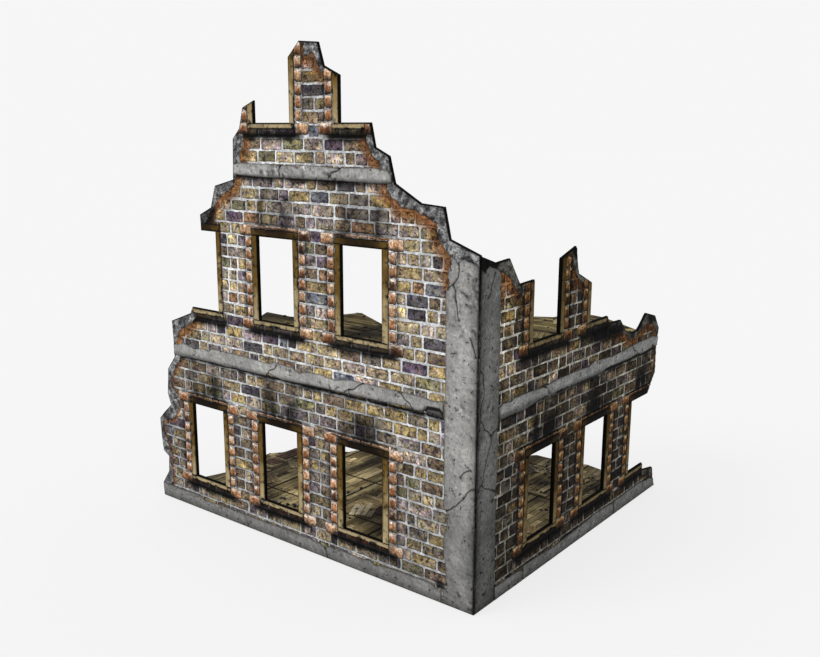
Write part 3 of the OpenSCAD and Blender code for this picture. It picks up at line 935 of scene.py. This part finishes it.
def mortar_bed(piece, wall, rings, light):
    """The bed between the bricks, which turns brown near the break."""
    def height(points):
        return 0.04 * (rough(*points.T, 0.9, 17) - 0.5)

    def colour(points):
        shade = 0.86 + 0.26 * rough(*points.T, 6, 23, 2)
        shade *= 1.38 if wall == "side" else 1
        return mix(MORTAR, BARE, 0.95 * bared(wall, points)) * (shade * light(points))[:, None]
    slab(piece, rings, -SHEET_T, height, colour, 0.9, bevel=(0.12, 0.05))


def trimmed(wall):
    """The boxes of the wall that window frames and their brick surrounds cover."""
    for w in windows_of(wall):
        yield frame_box(w, EDGE_LINE - GAP)
        if w["surround"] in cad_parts:
            near, _, far, _ = opening(w, RIM)
            left, low, right, high = surround_box(w)
            yield left, low, near, high
            yield far, low, right, high
            rise = (high - low) / SURROUND_COURSES
            for b in (low, high - rise):
                yield near - CORNER_QUOIN_W, b, near, b + rise
                yield far, b, far + CORNER_QUOIN_W, b + rise


def make_brickwork(looks):
    for wall, sheet in WALL_SHEETS.items():
        rings = outlines_of(wall + "_brick_facing", sheet)
        light = functools.partial(tone, wall)
        bed = Piece(sheet)
        mortar_bed(bed, wall, rings, light)
        bed.build(wall + "_mortar_bed", looks[wall + "_mortar"], [wall + "_brick_facing"])
        bricks = Piece(sheet)
        lay_bricks(bricks, wall, rings, trimmed(wall), BRICK_RELIEF, light, 12)
        bricks.build(wall + "_bricks", looks[wall + "_brick"])


# --- Rubble along the break ---

def make_rubble(looks):
    for wall, sheet in WALL_SHEETS.items():
        piece = Piece(sheet)

        def height(points):
            lumps = np.abs(rough(*points.T, 1.7, 41) - 0.5) * 2
            return 0.02 + 0.33 * lumps

        def colour(points):
            a, b = points.T
            grey = 100 + 54 * step(rough(a, b, 2.2, 46), 0.3, 0.7)
            grey *= 1 - 0.5 * step(rough(a, b, 1.1, 50), 0.54, 0.66)
            return (grey * unburnt(wall, points))[:, None]
        for ring in outlines_of(wall + "_broken_edge", sheet):
            if area(ring) > 0.3:
                slab(piece, [ring], -SHEET_T, height, colour, 0.5, bevel=(0.15, 0.1))
        piece.build(wall + "_rubble_edge", looks["rubble"], [wall + "_broken_edge"])


# --- Concrete trim ---

CRACKS = {
    "front_pilaster": [
        [(6.1, 91), (6.0, 89.3), (6.2, 87.6), (7.6, 85.6), (7.0, 84), (7.0, 82.5), (6.4, 80),
         (6.2, 77.8), (5.7, 76.9)],
        [(7.6, 85.6), (8.4, 85.2), (9.4, 84.3)],
        [(2.4, 73), (2.0, 71.8), (1.4, 70.6), (0.7, 68.4)],
        [(9.3, 26.5), (7.6, 27.3), (6.7, 28.3), (6.1, 28.5), (4.6, 30.3), (3.6, 31.2), (2.4, 33.3),
         (1.3, 34.3), (0.5, 34.4)],
        [(4.7, 36.6), (3.9, 37.9), (3.1, 38.6), (1.6, 39.4)],
    ],
    "side_pilaster": [
        [(6.2, 88.6), (5.6, 87), (4.8, 85.8), (4.4, 83.9), (3.3, 82.6)],
        [(0.6, 65), (1.7, 64.2), (1.9, 62), (2.3, 60), (2.2, 58.2), (1.3, 56.6), (0.9, 54.6)],
        [(0.9, 54.6), (1.1, 52.4), (2.2, 51), (2.8, 49.6), (4.4, 48.7), (6.0, 47.2), (7.6, 47.9),
         (8.6, 48.3)],
        [(6.0, 47.2), (6.1, 45.2), (5.2, 43.6), (4.4, 42), (3.9, 40), (3.1, 38.4), (2.9, 36.8),
         (2.2, 35.2)],
        [(2.2, 35.2), (3.4, 33.8), (5.4, 33.1), (6.6, 32.4), (8.3, 31.7)],
        [(2.2, 35.2), (1.2, 34.8), (0.6, 33.7)],
    ],
    "front_plinth": [[(52.3, 3.7), (51.5, 2.3), (51.2, 0.9), (50.8, 0.4)]],
    "side_plinth": [
        [(23.4, 4), (23.8, 2.8), (23.6, 1.6), (23.9, 0.6)],
        [(79.8, 4), (80.2, 2.8), (79.9, 1.6), (80.1, 0.6)],
    ],
    "front_storey_band": [
        [(36.8, 55.5), (38.2, 54.9), (39.3, 54.1), (40, 53.4), (41.1, 53.1), (42.2, 53), (43.7, 52)],
        [(24.7, 55.5), (23.7, 55), (23, 54.4), (22.4, 53.7), (21, 53.1), (20.4, 52.2), (20, 51.7)],
        [(70.2, 55.3), (71.1, 53.9), (73.4, 53.1), (74.2, 51.8)],
    ],
    "side_storey_band": [
        [(31, 55.3), (32.2, 54), (33.9, 53.4), (34.8, 51.9)],
        [(88, 55.3), (89.1, 53.6), (91.2, 52.9), (92, 51.9)],
    ],
    "front_upper_band": [
        [(44, 112.6), (45.2, 111.6), (47.6, 111.2), (48.4, 109.9)],
        [(66, 112.7), (67.2, 111.3), (66.8, 109.9)],
    ],
}
WIDE_CRACK = [(16.1, 51.9), (15.2, 53.0), (13.3, 53.1), (11.4, 53.1), (10.3, 52.2)]
CRACK_WIDTH = 0.32
CRACK_DEPTH = 0.2
WIDE_CRACK_WIDTH = 0.75

# Where a casting's skin has come off, as (a, b, half width, half height).
PEELED = {
    "front_pilaster": (4, 80, 6, 11),
    "front_upper_band": (60, 111, 20, 6),
}


def peeled(node, a, b):
    """How much of the skin is off, from 0 to 1, in ragged flakes."""
    flakes = rough(a, b, 1.6, 301)
    x, y, half_width, half_height = PEELED.get(node, (0, 0, 1e-3, 1e-3))
    reach = np.hypot((a - x) / half_width, (b - y) / half_height)
    return step(flakes - 0.25 * step(reach, 0.5, 1.2), 0.46, 0.54)


def concrete_shade(node, a, b):
    """How light the print of a casting is: darker at its foot and towards the corner, with the
    painted light and shade of an embossed skin, painted shade along a band's lower edge, and a
    painted shadow under the storey band's wide crack."""
    wall = node.split("_")[0]
    light = (0.86 + 0.26 * rough(a, b, 7, 106, 4)) * (1 - 0.1 * peeled(node, a, b))
    light *= 0.74 + 0.26 * step(b, 0.3, 3.2)
    # Painted light and shade, as on a rough skin lit from one side.
    emboss_light_and_shade = rough(a, b, 1.5, 311, 2) - rough(a + 0.4, b - 0.4, 1.5, 311, 2)
    light *= 1 + (0.25 + 1.4 * peeled(node, a, b)) * emboss_light_and_shade
    if "pilaster" in node:
        low, high = (5, 11) if wall == "front" else (4.5, 10)
        light *= (0.8 + 0.23 * step(a, 0.2, 3.2)) * (1 - 0.13 * step(a, low, high))
        light *= 0.79 + 0.21 * step(b, 16, 50)
        light *= 0.97 - 0.08 * step(b, 70, 90)
    elif "plinth" in node:
        light *= 0.78 if wall == "front" else 0.96
    else:
        low = BAND_FEET[node]
        light *= 1.2 if wall == "side" else 0.91 + 0.09 * step(a, 16, 44)
        # A band is painted darker along its lower edge, as shade.
        light *= 0.66 + 0.34 * step(b, low, low + 1.4)
    # The corner of the storey band below its wide crack is painted in shadow.
    if node == "front_storey_band":
        start, top = WIDE_CRACK[0][0] + 0.3, WIDE_CRACK[1][1]
        light *= 1 - 0.35 * step(start - a, 0, 0.6) * step(top - b, 0, 0.6)
    return light


def make_concrete(looks):
    for node, cracks in CRACKS.items():
        wall = node.split("_")[0]
        relief = PILASTER_RELIEF if "pilaster" in node else BAND_RELIEF

        def height(points):
            a, b = points.T
            waves = rough(a, b, 4, 103) - 0.5
            crumbs = rough(a, b, 1.0, 107, 2) - 0.5
            skin = relief - 0.06 + 0.06 * waves + crumbs * (0.06 + 0.1 * peeled(node, a, b))
            return np.minimum(skin, relief)

        def colour(points):
            a, b = points.T
            return np.array(CONCRETE[wall]) * concrete_shade(node, a, b)[:, None]
        lines = [(line, CRACK_WIDTH, CRACK_DEPTH) for line in cracks]
        if node == "front_storey_band":
            lines.append((WIDE_CRACK, WIDE_CRACK_WIDTH, 2 * CRACK_DEPTH))
        piece = Piece(WALL_SHEETS[wall])
        for ring in outlines_of(node, piece.sheet):
            slab(piece, [ring], 0, height, colour, 0.5, bevel=(0.25, 0.1), cracks=lines, edge_tone=0.6)
        piece.build(node + "_cast", looks[wall + "_concrete"], [node])


# --- Timber frames and brick surrounds ---

# How charred the heads of a storey's windows are.
HEAD_CHAR = {"ground": 1.0, "first": 0.62, "top": 0.5}


def member_rings(window):
    """The four timbers of a frame, as (ring, direction, (how stained, how charred))."""
    a0, b0, a1, b1 = opening(window, EDGE_LINE)
    left, low, right, high = frame_box(window)
    return [
        (box_ring(left, b0, a0, b1), math.pi / 2, (0.1, 0.1)),
        (box_ring(a1, b0, right, b1), math.pi / 2, (0.45, 0.0)),
        (box_ring(left, low, right, b0), 0.0, (0.0, 0.0)),
        (box_ring(left, b1, right, high), 0.0, (0.6, 0.95)),
    ]


def timber_colour(window, wear):
    """The colour of a frame's timbers: khaki below, stained and charred towards the head."""
    stained, char = wear
    sill = window["sill"]
    storey_char = HEAD_CHAR[window["storey"]]

    def colour(points):
        a, b = points.T
        ragged = rough(a, b, 3.2, int(sill) + window["bay"] * 13)
        rise = (b - sill) / WINDOW_H
        rising = step(rise + (ragged - 0.5) * 0.9, 0.2, 0.85)
        stain = np.clip(rising * 0.9 + stained * step(rise, 0, 0.3), 0, 1)
        colours = mix(TIMBER, TIMBER_STAIN, stain)
        colours *= (1 - 0.5 * step(rough(a, b, 0.9, 15 + window["bay"]), 0.64, 0.72))[:, None]
        centre = fade(np.abs(a - window["middle"]) + (ragged - 0.5) * 6, 2.5, 9.5)
        burnt = np.clip(char * storey_char * (0.25 + centre), 0, 1) * step(rise, 0.93, 1.0)
        return mix(colours, TIMBER_CHAR, burnt)
    return colour


def chewed(ring, window, seed):
    """A timber's outline with its outer edges worn ragged; the edges of the opening stay."""
    ring = resample(ring, 0.7)
    points = np.array(ring)
    left, low, right, high = opening(window, EDGE_LINE + 0.1)
    a, b = points.T
    on_opening = (a > left) & (a < right) & (b > low) & (b < high)
    wear = 0.12 * rough(a, b, 1.4, seed) + 0.45 * step(rough(a, b, 2.6, seed + 4), 0.6, 0.72)
    wear[on_opening] = 0
    inner = np.array(inset(ring, 1.0))
    return [tuple(p) for p in points + (inner - points) * wear[:, None]]


def lay_timbers(piece, window):
    """Lays a frame's timbers, as far as they are left."""
    outline = outlines_of(window["node"], WALL_SHEETS[window["wall"]])[0]
    for k, (member, direction, wear) in enumerate(member_rings(window)):
        seed = window["bay"] * 11 + k + int(window["sill"])

        def height(points):
            a, b = points.T
            along, across = (b, a) if direction else (a, b)
            fibres = rough(along * 0.12, across, 0.45, seed) - 0.5
            return FRAME_RELIEF - 0.03 + 0.06 * fibres
        for ring in clip(outline, member):
            if area(ring) > 0.5:
                ring = chewed(ring, window, seed)
                # The timbers' edges are painted dark: their printed outline, and painted shade against
                # the bricks.
                slab(piece, [ring], 0, height, timber_colour(window, wear), 0.55, bevel=(0.16, 0.1),
                     grain=grain_along(direction, seed), edge_tone=0.3)


def make_frames(looks):
    for w in WINDOWS:
        piece = Piece(WALL_SHEETS[w["wall"]])
        lay_timbers(piece, w)
        piece.build(w["node"] + "_timbers", looks["timber"], [w["node"]])


# Bricks that stand on the end of a broken sill, as (a0, b0, a1, b1).
SILL_END_BRICKS = {
    "front_top_surround_1": (33, 121, 35.7, 125),
    "side_first_surround_2": (69, 64, 71.5, 69),
}


def surround_boxes(window, rng):
    """The bricks of a surround: up both sides, long at the four corners, and over the head."""
    foot = window["sill"] - SURROUND_REACH
    whole = WINDOW_H + 2 * SURROUND_REACH
    rise = whole / SURROUND_COURSES
    near, far = window["jamb"] - RIM - GAP, window["jamb"] + WINDOW_W + RIM + GAP
    for k in range(SURROUND_COURSES):
        low, high = foot + k * rise, foot + (k + 1) * rise
        for edge, way in ((near, -1), (far, 1)):
            corner = k in (0, SURROUND_COURSES - 1)
            width = CORNER_QUOIN_W - GAP if corner else QUOIN_W - rng.uniform(0, 0.4)
            a0, a1 = sorted((edge, edge + way * width))
            yield a0, low + rng.uniform(GAP, 0.16), a1, high - rng.uniform(0.08, 0.2)
    at = near
    while at < far:
        length = rng.uniform(2.4, 4.6)
        yield at, foot + whole - HEAD_COURSE_H, at + length, foot + whole - GAP
        at += length + 0.25
    if window["surround"] in SILL_END_BRICKS:
        yield SILL_END_BRICKS[window["surround"]]


def quoin_colour(low, high, base_colour, wall, patch):
    """Terracotta, pale along its top and its edges as a painted highlight, and darker towards its foot
    as painted shade.
    """
    def colour(points, depth):
        a, b = points.T
        rise = (b - low) / (high - low)
        ragged = rough(a, b, 0.9, patch) - 0.5
        # worn is a painted highlight, pale along the top and round the edges.
        worn = 0.95 * step(rise + ragged * 0.7, 0.62, 0.95)
        worn = np.maximum(worn, 0.5 * fade(depth + ragged * 0.5, 0.1, 0.4))
        painted = mix(base_colour, QUOIN_HIGHLIGHT, worn)
        # Painted shade towards the foot.
        painted *= (0.36 + 0.64 * step(rise + ragged * 0.5, 0, 0.45))[:, None]
        if wall == "side":
            painted *= np.array((1, 0.93, 0.8)) * (0.86 + 0.3 * worn)[:, None]
        # Darkened by soot and by the painted shadows of sills and bands.
        return painted * (0.5 + 0.5 * soot_and_shadow(wall, points))[:, None]
    return colour


def make_surrounds(looks):
    for w in WINDOWS:
        node = w["surround"]
        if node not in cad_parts:
            continue
        piece = Piece(WALL_SHEETS[w["wall"]])
        rng = random.Random(node)
        rings = outlines_of(node, piece.sheet)
        for box in surround_boxes(w, rng):
            base_colour = pick_shade(rng, TERRACOTTA, (0.9, 1.1))
            colour = quoin_colour(box[1], box[3], base_colour, w["wall"], rng.randrange(1000))
            brick = worn_corners(box_ring(*box), rng, 0.6)
            for part in [part for ring in rings for part in clip(ring, brick)]:
                block(piece, part, 0, QUOIN_RELIEF - rng.uniform(0, 0.05), colour, rng, QUOIN_SHAPE,
                      0.12, spacing=0.6)
        piece.build(node + "_bricks", looks[w["wall"] + "_quoin"], [node])


# --- Floors ---

BOARD_W = 2.3
GRID_LINE = 0.7
FLOOR_BED_T = 0.04

# Each floor's seed, clusters of loose boards and number of stones, and the seed of its dark
# patches and its painted pools of light.
FLOORS = {"ground": (21, 60, 520), "upper": (22, 44, 420)}
FLOOR_PATCH_SEEDS = {"ground": 102, "upper": 85}
LOOSE_ANGLES = [0, math.pi / 2, math.pi / 2, 0.5, -0.45, 1.1]
STONE_SIDES = 6


def floor_light(name, points):
    """How light a floor's print is, with large dark patches and pale patches painted as pools of
    light. The ground floor's print, raised as painted light against its shadow, is darker again
    where the upper floor doesn't shade it, and at the back of the side wall."""
    seed = FLOOR_PATCH_SEEDS[name]
    stain = step(rough(*points.T, 16, seed + 3), 0.48, 0.64)
    # Pale patches are painted pools of light.
    pale = step(rough(*points.T, 11, seed + 8), 0.54, 0.7)
    light = 1 - 0.55 * stain + 0.25 * pale
    if name == "ground":
        cover = outlines_of("upper_planking", floor_sheet("upper"))
        reach = distance(points, cover, True) * np.where(inside(points, cover), 1, -1)
        # The painted light that lifts the ground floor is taken off where the upper floor doesn't cover
        # it.
        light *= 1 - 0.68 * fade(reach, -12, 14)
        light *= 1 - 0.32 * step(points[:, 1], 50, 72) * fade(points[:, 0], 38, 62)
    return light


def cut_at_grid(start, end):
    """A board from start to end, cut where it crosses a line of the grid."""
    lines = [k * GRID for k in range(math.ceil(start / GRID), math.ceil(end / GRID))]
    ends = [start] + lines + [end]
    for low, high in zip(ends, ends[1:]):
        yield (low + (GRID_LINE / 2 if low in lines else GAP),
               high - (GRID_LINE / 2 if high in lines else GAP))


def floor_boards(piece, outer, rng):
    """Floorboards cut along the scored square grid. The ground floor's run to the back."""
    turned = piece.sheet.kind == "ground"
    low = np.min(outer, axis=0)
    high = np.max(outer, axis=0)
    start, end = (low[1], high[1]) if turned else (low[0], high[0])
    across = high[0] if turned else high[1]
    rows = int(GRID // BOARD_W)
    pitch = (GRID - GRID_LINE) / rows
    for k in range(rows * math.ceil(across / GRID)):
        side = k // rows * GRID + GRID_LINE / 2 + k % rows * pitch
        at = start - rng.uniform(0, 10)
        while at < end:
            stop = at + rng.uniform(9, 24)
            base_colour = pick_shade(rng, FLOOR_BOARDS, (0.8, 1.15))
            grain = grain_along(math.pi / 2 if turned else 0, rng.randrange(500))

            def colour(points, depth):
                return base_colour * floor_light(piece.sheet.kind, points)[:, None]
            for a0, a1 in cut_at_grid(at, stop):
                ring = box_ring(a0, side + GAP, a1, side + pitch - GAP)
                if turned:
                    ring = [(b, a) for a, b in reversed(ring)]
                for part in clip(outer, ring):
                    block(piece, part, 0, SHEET_T + rng.uniform(-0.02, 0.03), colour, rng, BOARD_SHAPE,
                          0.02, grain, spacing=2.0)
            at = stop


def loose_boards(piece, outer, rng, clusters):
    """Scraps of torn boards that lie on a floor, alone or up to four side by side."""
    high = np.max(outer, axis=0)
    margin = inset(outer, 0.8)
    for _ in range(clusters):
        a, b = rng.uniform(4, high[0]), rng.uniform(4, high[1])
        angle = rng.choice(LOOSE_ANGLES) + rng.uniform(-0.08, 0.08)
        length, width = rng.uniform(5, 10), rng.uniform(1.4, 2.0)
        base_colour = np.array(pick(rng, LOOSE_BOARDS), float)
        for k in range(rng.choice([1, 3, 4, 4])):
            slip = rng.uniform(-0.6, 0.6)
            shift = (width + 0.1) * k
            middle = (a - math.sin(angle) * shift + slip * math.cos(angle),
                      b + math.cos(angle) * shift + slip * math.sin(angle))
            ring = turned_ring(*middle, length, width, angle)
            if not inside(np.array(ring), [margin]).all():
                continue
            shade = base_colour * rng.uniform(0.88, 1.1)

            def colour(points, depth):
                return shade * floor_light(piece.sheet.kind, points)[:, None]
            block(piece, ring, SHEET_T - 0.02, SHEET_T + rng.uniform(0.14, 0.3), colour, rng,
                  BOARD_SHAPE, 0.06, grain_along(angle, rng.randrange(500)))


def stones(piece, outer, rng, count):
    """Small angular stones on a floor, in loose drifts."""
    high = np.max(outer, axis=0)
    margin = inset(outer, 0.8)
    placed = 0
    while placed < count:
        a, b = rng.uniform(3, high[0]), rng.uniform(3, high[1])
        drift = rough(np.array([a]), np.array([b]), 14, 91)[0]
        if drift < rng.uniform(0.5, 0.72) or not inside(np.array([[a, b]]), [margin])[0]:
            continue
        size = rng.uniform(0.22, 0.7)
        turn = rng.uniform(0, math.pi)
        angles = [turn + k * math.tau / STONE_SIDES for k in range(STONE_SIDES)]
        ring = [(a + size * math.cos(angle) * rng.uniform(0.7, 1.1),
                 b + size * math.sin(angle) * rng.uniform(0.7, 1.1)) for angle in angles]
        base_colour = pick_shade(rng, STONES, (0.8, 1.15))
        top = size * rng.uniform(0.5, 0.95)
        foot = [(p, q, SHEET_T - 0.03) for p, q in ring]
        waist = [(p, q, SHEET_T + top * rng.uniform(0.4, 0.7)) for p, q in ring]
        crown = [(*between((a, b), p, 0.5), SHEET_T + top * rng.uniform(0.9, 1)) for p in ring]
        faces = band_faces(STONE_SIDES, 2)
        faces += [tuple(range(2 * STONE_SIDES, 3 * STONE_SIDES)), tuple(reversed(range(STONE_SIDES)))]
        # Each stone is painted dark at its foot and light on its crown, as shade and a highlight.
        shade = np.repeat([0.5, 0.85, 1.1], STONE_SIDES)[:, None]
        light = floor_light(piece.sheet.kind, np.array([[a, b]]))
        piece.add(foot + waist + crown, faces, base_colour * shade * light)
        placed += 1


def make_floors(looks):
    for name, (seed, clusters, count) in FLOORS.items():
        sheet = floor_sheet(name)
        outer = outlines_of(name + "_planking", sheet)[0]
        rng = random.Random(seed)
        bed = Piece(sheet)
        slab(bed, [outer], 0, lambda points: FLOOR_BED_T, lambda points: FLOOR_BED, 4.0,
             bevel=(0.1, 0.005))
        bed.build(name + "_floor_bed", looks["stone"], [name + "_planking"])
        layers = [
            ("_floorboards", "floor", floor_boards, []),
            ("_torn_boards", "floor", loose_boards, [clusters]),
            ("_stones", "stone", stones, [count]),
        ]
        for ending, look, lay, amount in layers:
            piece = Piece(sheet)
            lay(piece, outer, rng, *amount)
            piece.build(name + ending, looks[look])


# --- Inner faces ---

INNER_BRICK_RELIEF = 0.13


def make_inner_faces(looks):
    for sheet, wall, seed in ((FRONT_IN, "front", 51), (SIDE_IN, "side", 52)):
        rings = outlines_of(wall + "_lining", sheet)
        broken = outlines_of(wall + "_broken_edge", WALL_SHEETS[wall])

        def fallen(points):
            a, b = points.T
            edge = distance(points, broken, True)
            return step(rough(a, b, 18, seed) * 1.1 - 0.035 * np.minimum(edge, 14), 0.28, 0.31)

        def height(points):
            wave = 0.03 * (rough(*points.T, 6, seed + 1) - 0.5)
            return 0.2 + wave - 0.22 * fallen(points)

        def colour(points):
            shade = 0.8 + 0.3 * rough(*points.T, 14, seed + 2, 4)
            gone = fallen(points)[:, None]
            return np.array(PLASTER) * shade[:, None] * (1 - gone) + np.array(MORTAR) * 0.8 * gone
        bed = Piece(sheet)
        slab(bed, rings, -SHEET_T, height, colour, 0.8, bevel=(0.2, 0.08))
        bed.build(wall + "_plaster", looks["plaster"], [wall + "_lining"])
        bricks = Piece(sheet)
        holes = [opening(w, RIM) for w in windows_of(wall)]
        lay_bricks(bricks, wall, rings, holes, INNER_BRICK_RELIEF, lambda points: 1, seed)
        bricks.build(wall + "_inner_bricks", looks["front_brick"])
        frames = Piece(sheet)
        for w in windows_of(wall):
            lay_timbers(frames, w)
        frames.build(wall + "_inner_timbers", looks["timber"], [wall + "_inner_frames"])


# --- Camera, light and floor ---

# Angles are in degrees, the lens in mm and the distances in metres.
CAMERA_YAW, CAMERA_PITCH, CAMERA_ROLL = 38.09, 12.31, 0.21
CAMERA_LENS = 39.65
CAMERA_FROM_CORNER = (0.1173, -0.1766, 0.1218)
BACKDROP = 0.921
FLOOR_GLOW = 0.773
FLOOR_REACH = 6.0
FLOOR_GAP = 0.0002
KEY_ENERGY = 1.6
KEY_WIDTH = 35
KEY_TILT, KEY_TURN = 52, -28


def make_camera():
    """A camera that looks at the outer corner from its right and a little above."""
    yaw, pitch, roll = (math.radians(turn) for turn in (CAMERA_YAW, CAMERA_PITCH, CAMERA_ROLL))
    back = Vector((math.sin(yaw) * math.cos(pitch), -math.cos(yaw) * math.cos(pitch), math.sin(pitch)))
    right = (-back).cross(Vector((0, 0, 1))).normalized()
    up = right.cross(-back)
    turned_right = right * math.cos(roll) + up * math.sin(roll)
    turned_up = up * math.cos(roll) - right * math.sin(roll)
    data = bpy.data.cameras.new("camera")
    data.lens = CAMERA_LENS
    data.sensor_width = 36
    data.clip_start = 0.01
    camera = into_scene("camera", data)
    x, y, z = CAMERA_FROM_CORNER
    place = Vector((CORNER_X + x, CORNER_Y + y, z))
    turn = Matrix((turned_right, turned_up, back)).transposed()
    camera.matrix_world = Matrix.Translation(place) @ turn.to_4x4()
    bpy.context.scene.camera = camera


def make_studio():
    """A pale floor and backdrop with one wide soft lamp."""
    scene = bpy.context.scene
    scene.view_settings.view_transform = "Standard"
    world = bpy.data.worlds.new("studio")
    world.use_nodes = True
    background = world.node_tree.nodes["Background"]
    background.inputs["Color"].default_value = (BACKDROP, BACKDROP, BACKDROP, 1)
    background.inputs["Strength"].default_value = 1.0
    scene.world = world
    lamp = bpy.data.lights.new("key", "SUN")
    lamp.energy = KEY_ENERGY
    lamp.angle = math.radians(KEY_WIDTH)
    key = into_scene("key", lamp)
    key.rotation_euler = (math.radians(KEY_TILT), 0, math.radians(KEY_TURN))
    mesh = bpy.data.meshes.new("floor")
    corners = box_ring(-FLOOR_REACH, -FLOOR_REACH, FLOOR_REACH, FLOOR_REACH)
    mesh.from_pydata([(x, y, 0) for x, y in corners], [], [(0, 1, 2, 3)])
    floor = into_scene("floor", mesh)
    floor.location.z = -FLOOR_GAP
    material = bpy.data.materials.new("studio_floor")
    material.use_nodes = True
    shader = material.node_tree.nodes["Principled BSDF"]
    shader.inputs["Base Color"].default_value = (0.12, 0.12, 0.12, 1)
    shader.inputs["Emission Color"].default_value = (1, 1, 1, 1)
    shader.inputs["Emission Strength"].default_value = FLOOR_GLOW
    shader.inputs["Roughness"].default_value = 1.0
    shader.inputs["Specular IOR Level"].default_value = 0.0
    mesh.materials.append(material)


KEPT_NODES = {
    "core": ["front_core", "side_core", "ground_floor_board", "upper_floor_board"],
    "batten": ["front_ledge", "side_ledge", "corner_post"],
}


def dress_frame(looks):
    """Gives the CAD nodes that stay their materials."""
    for look, nodes in KEPT_NODES.items():
        for node in nodes:
            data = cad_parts[node].data
            data.materials.clear()
            data.materials.append(looks[look])


make_camera()
looks = make_materials()
dress_frame(looks)
make_brickwork(looks)
make_rubble(looks)
make_concrete(looks)
make_frames(looks)
make_surrounds(looks)
make_floors(looks)
make_inner_faces(looks)
make_studio()
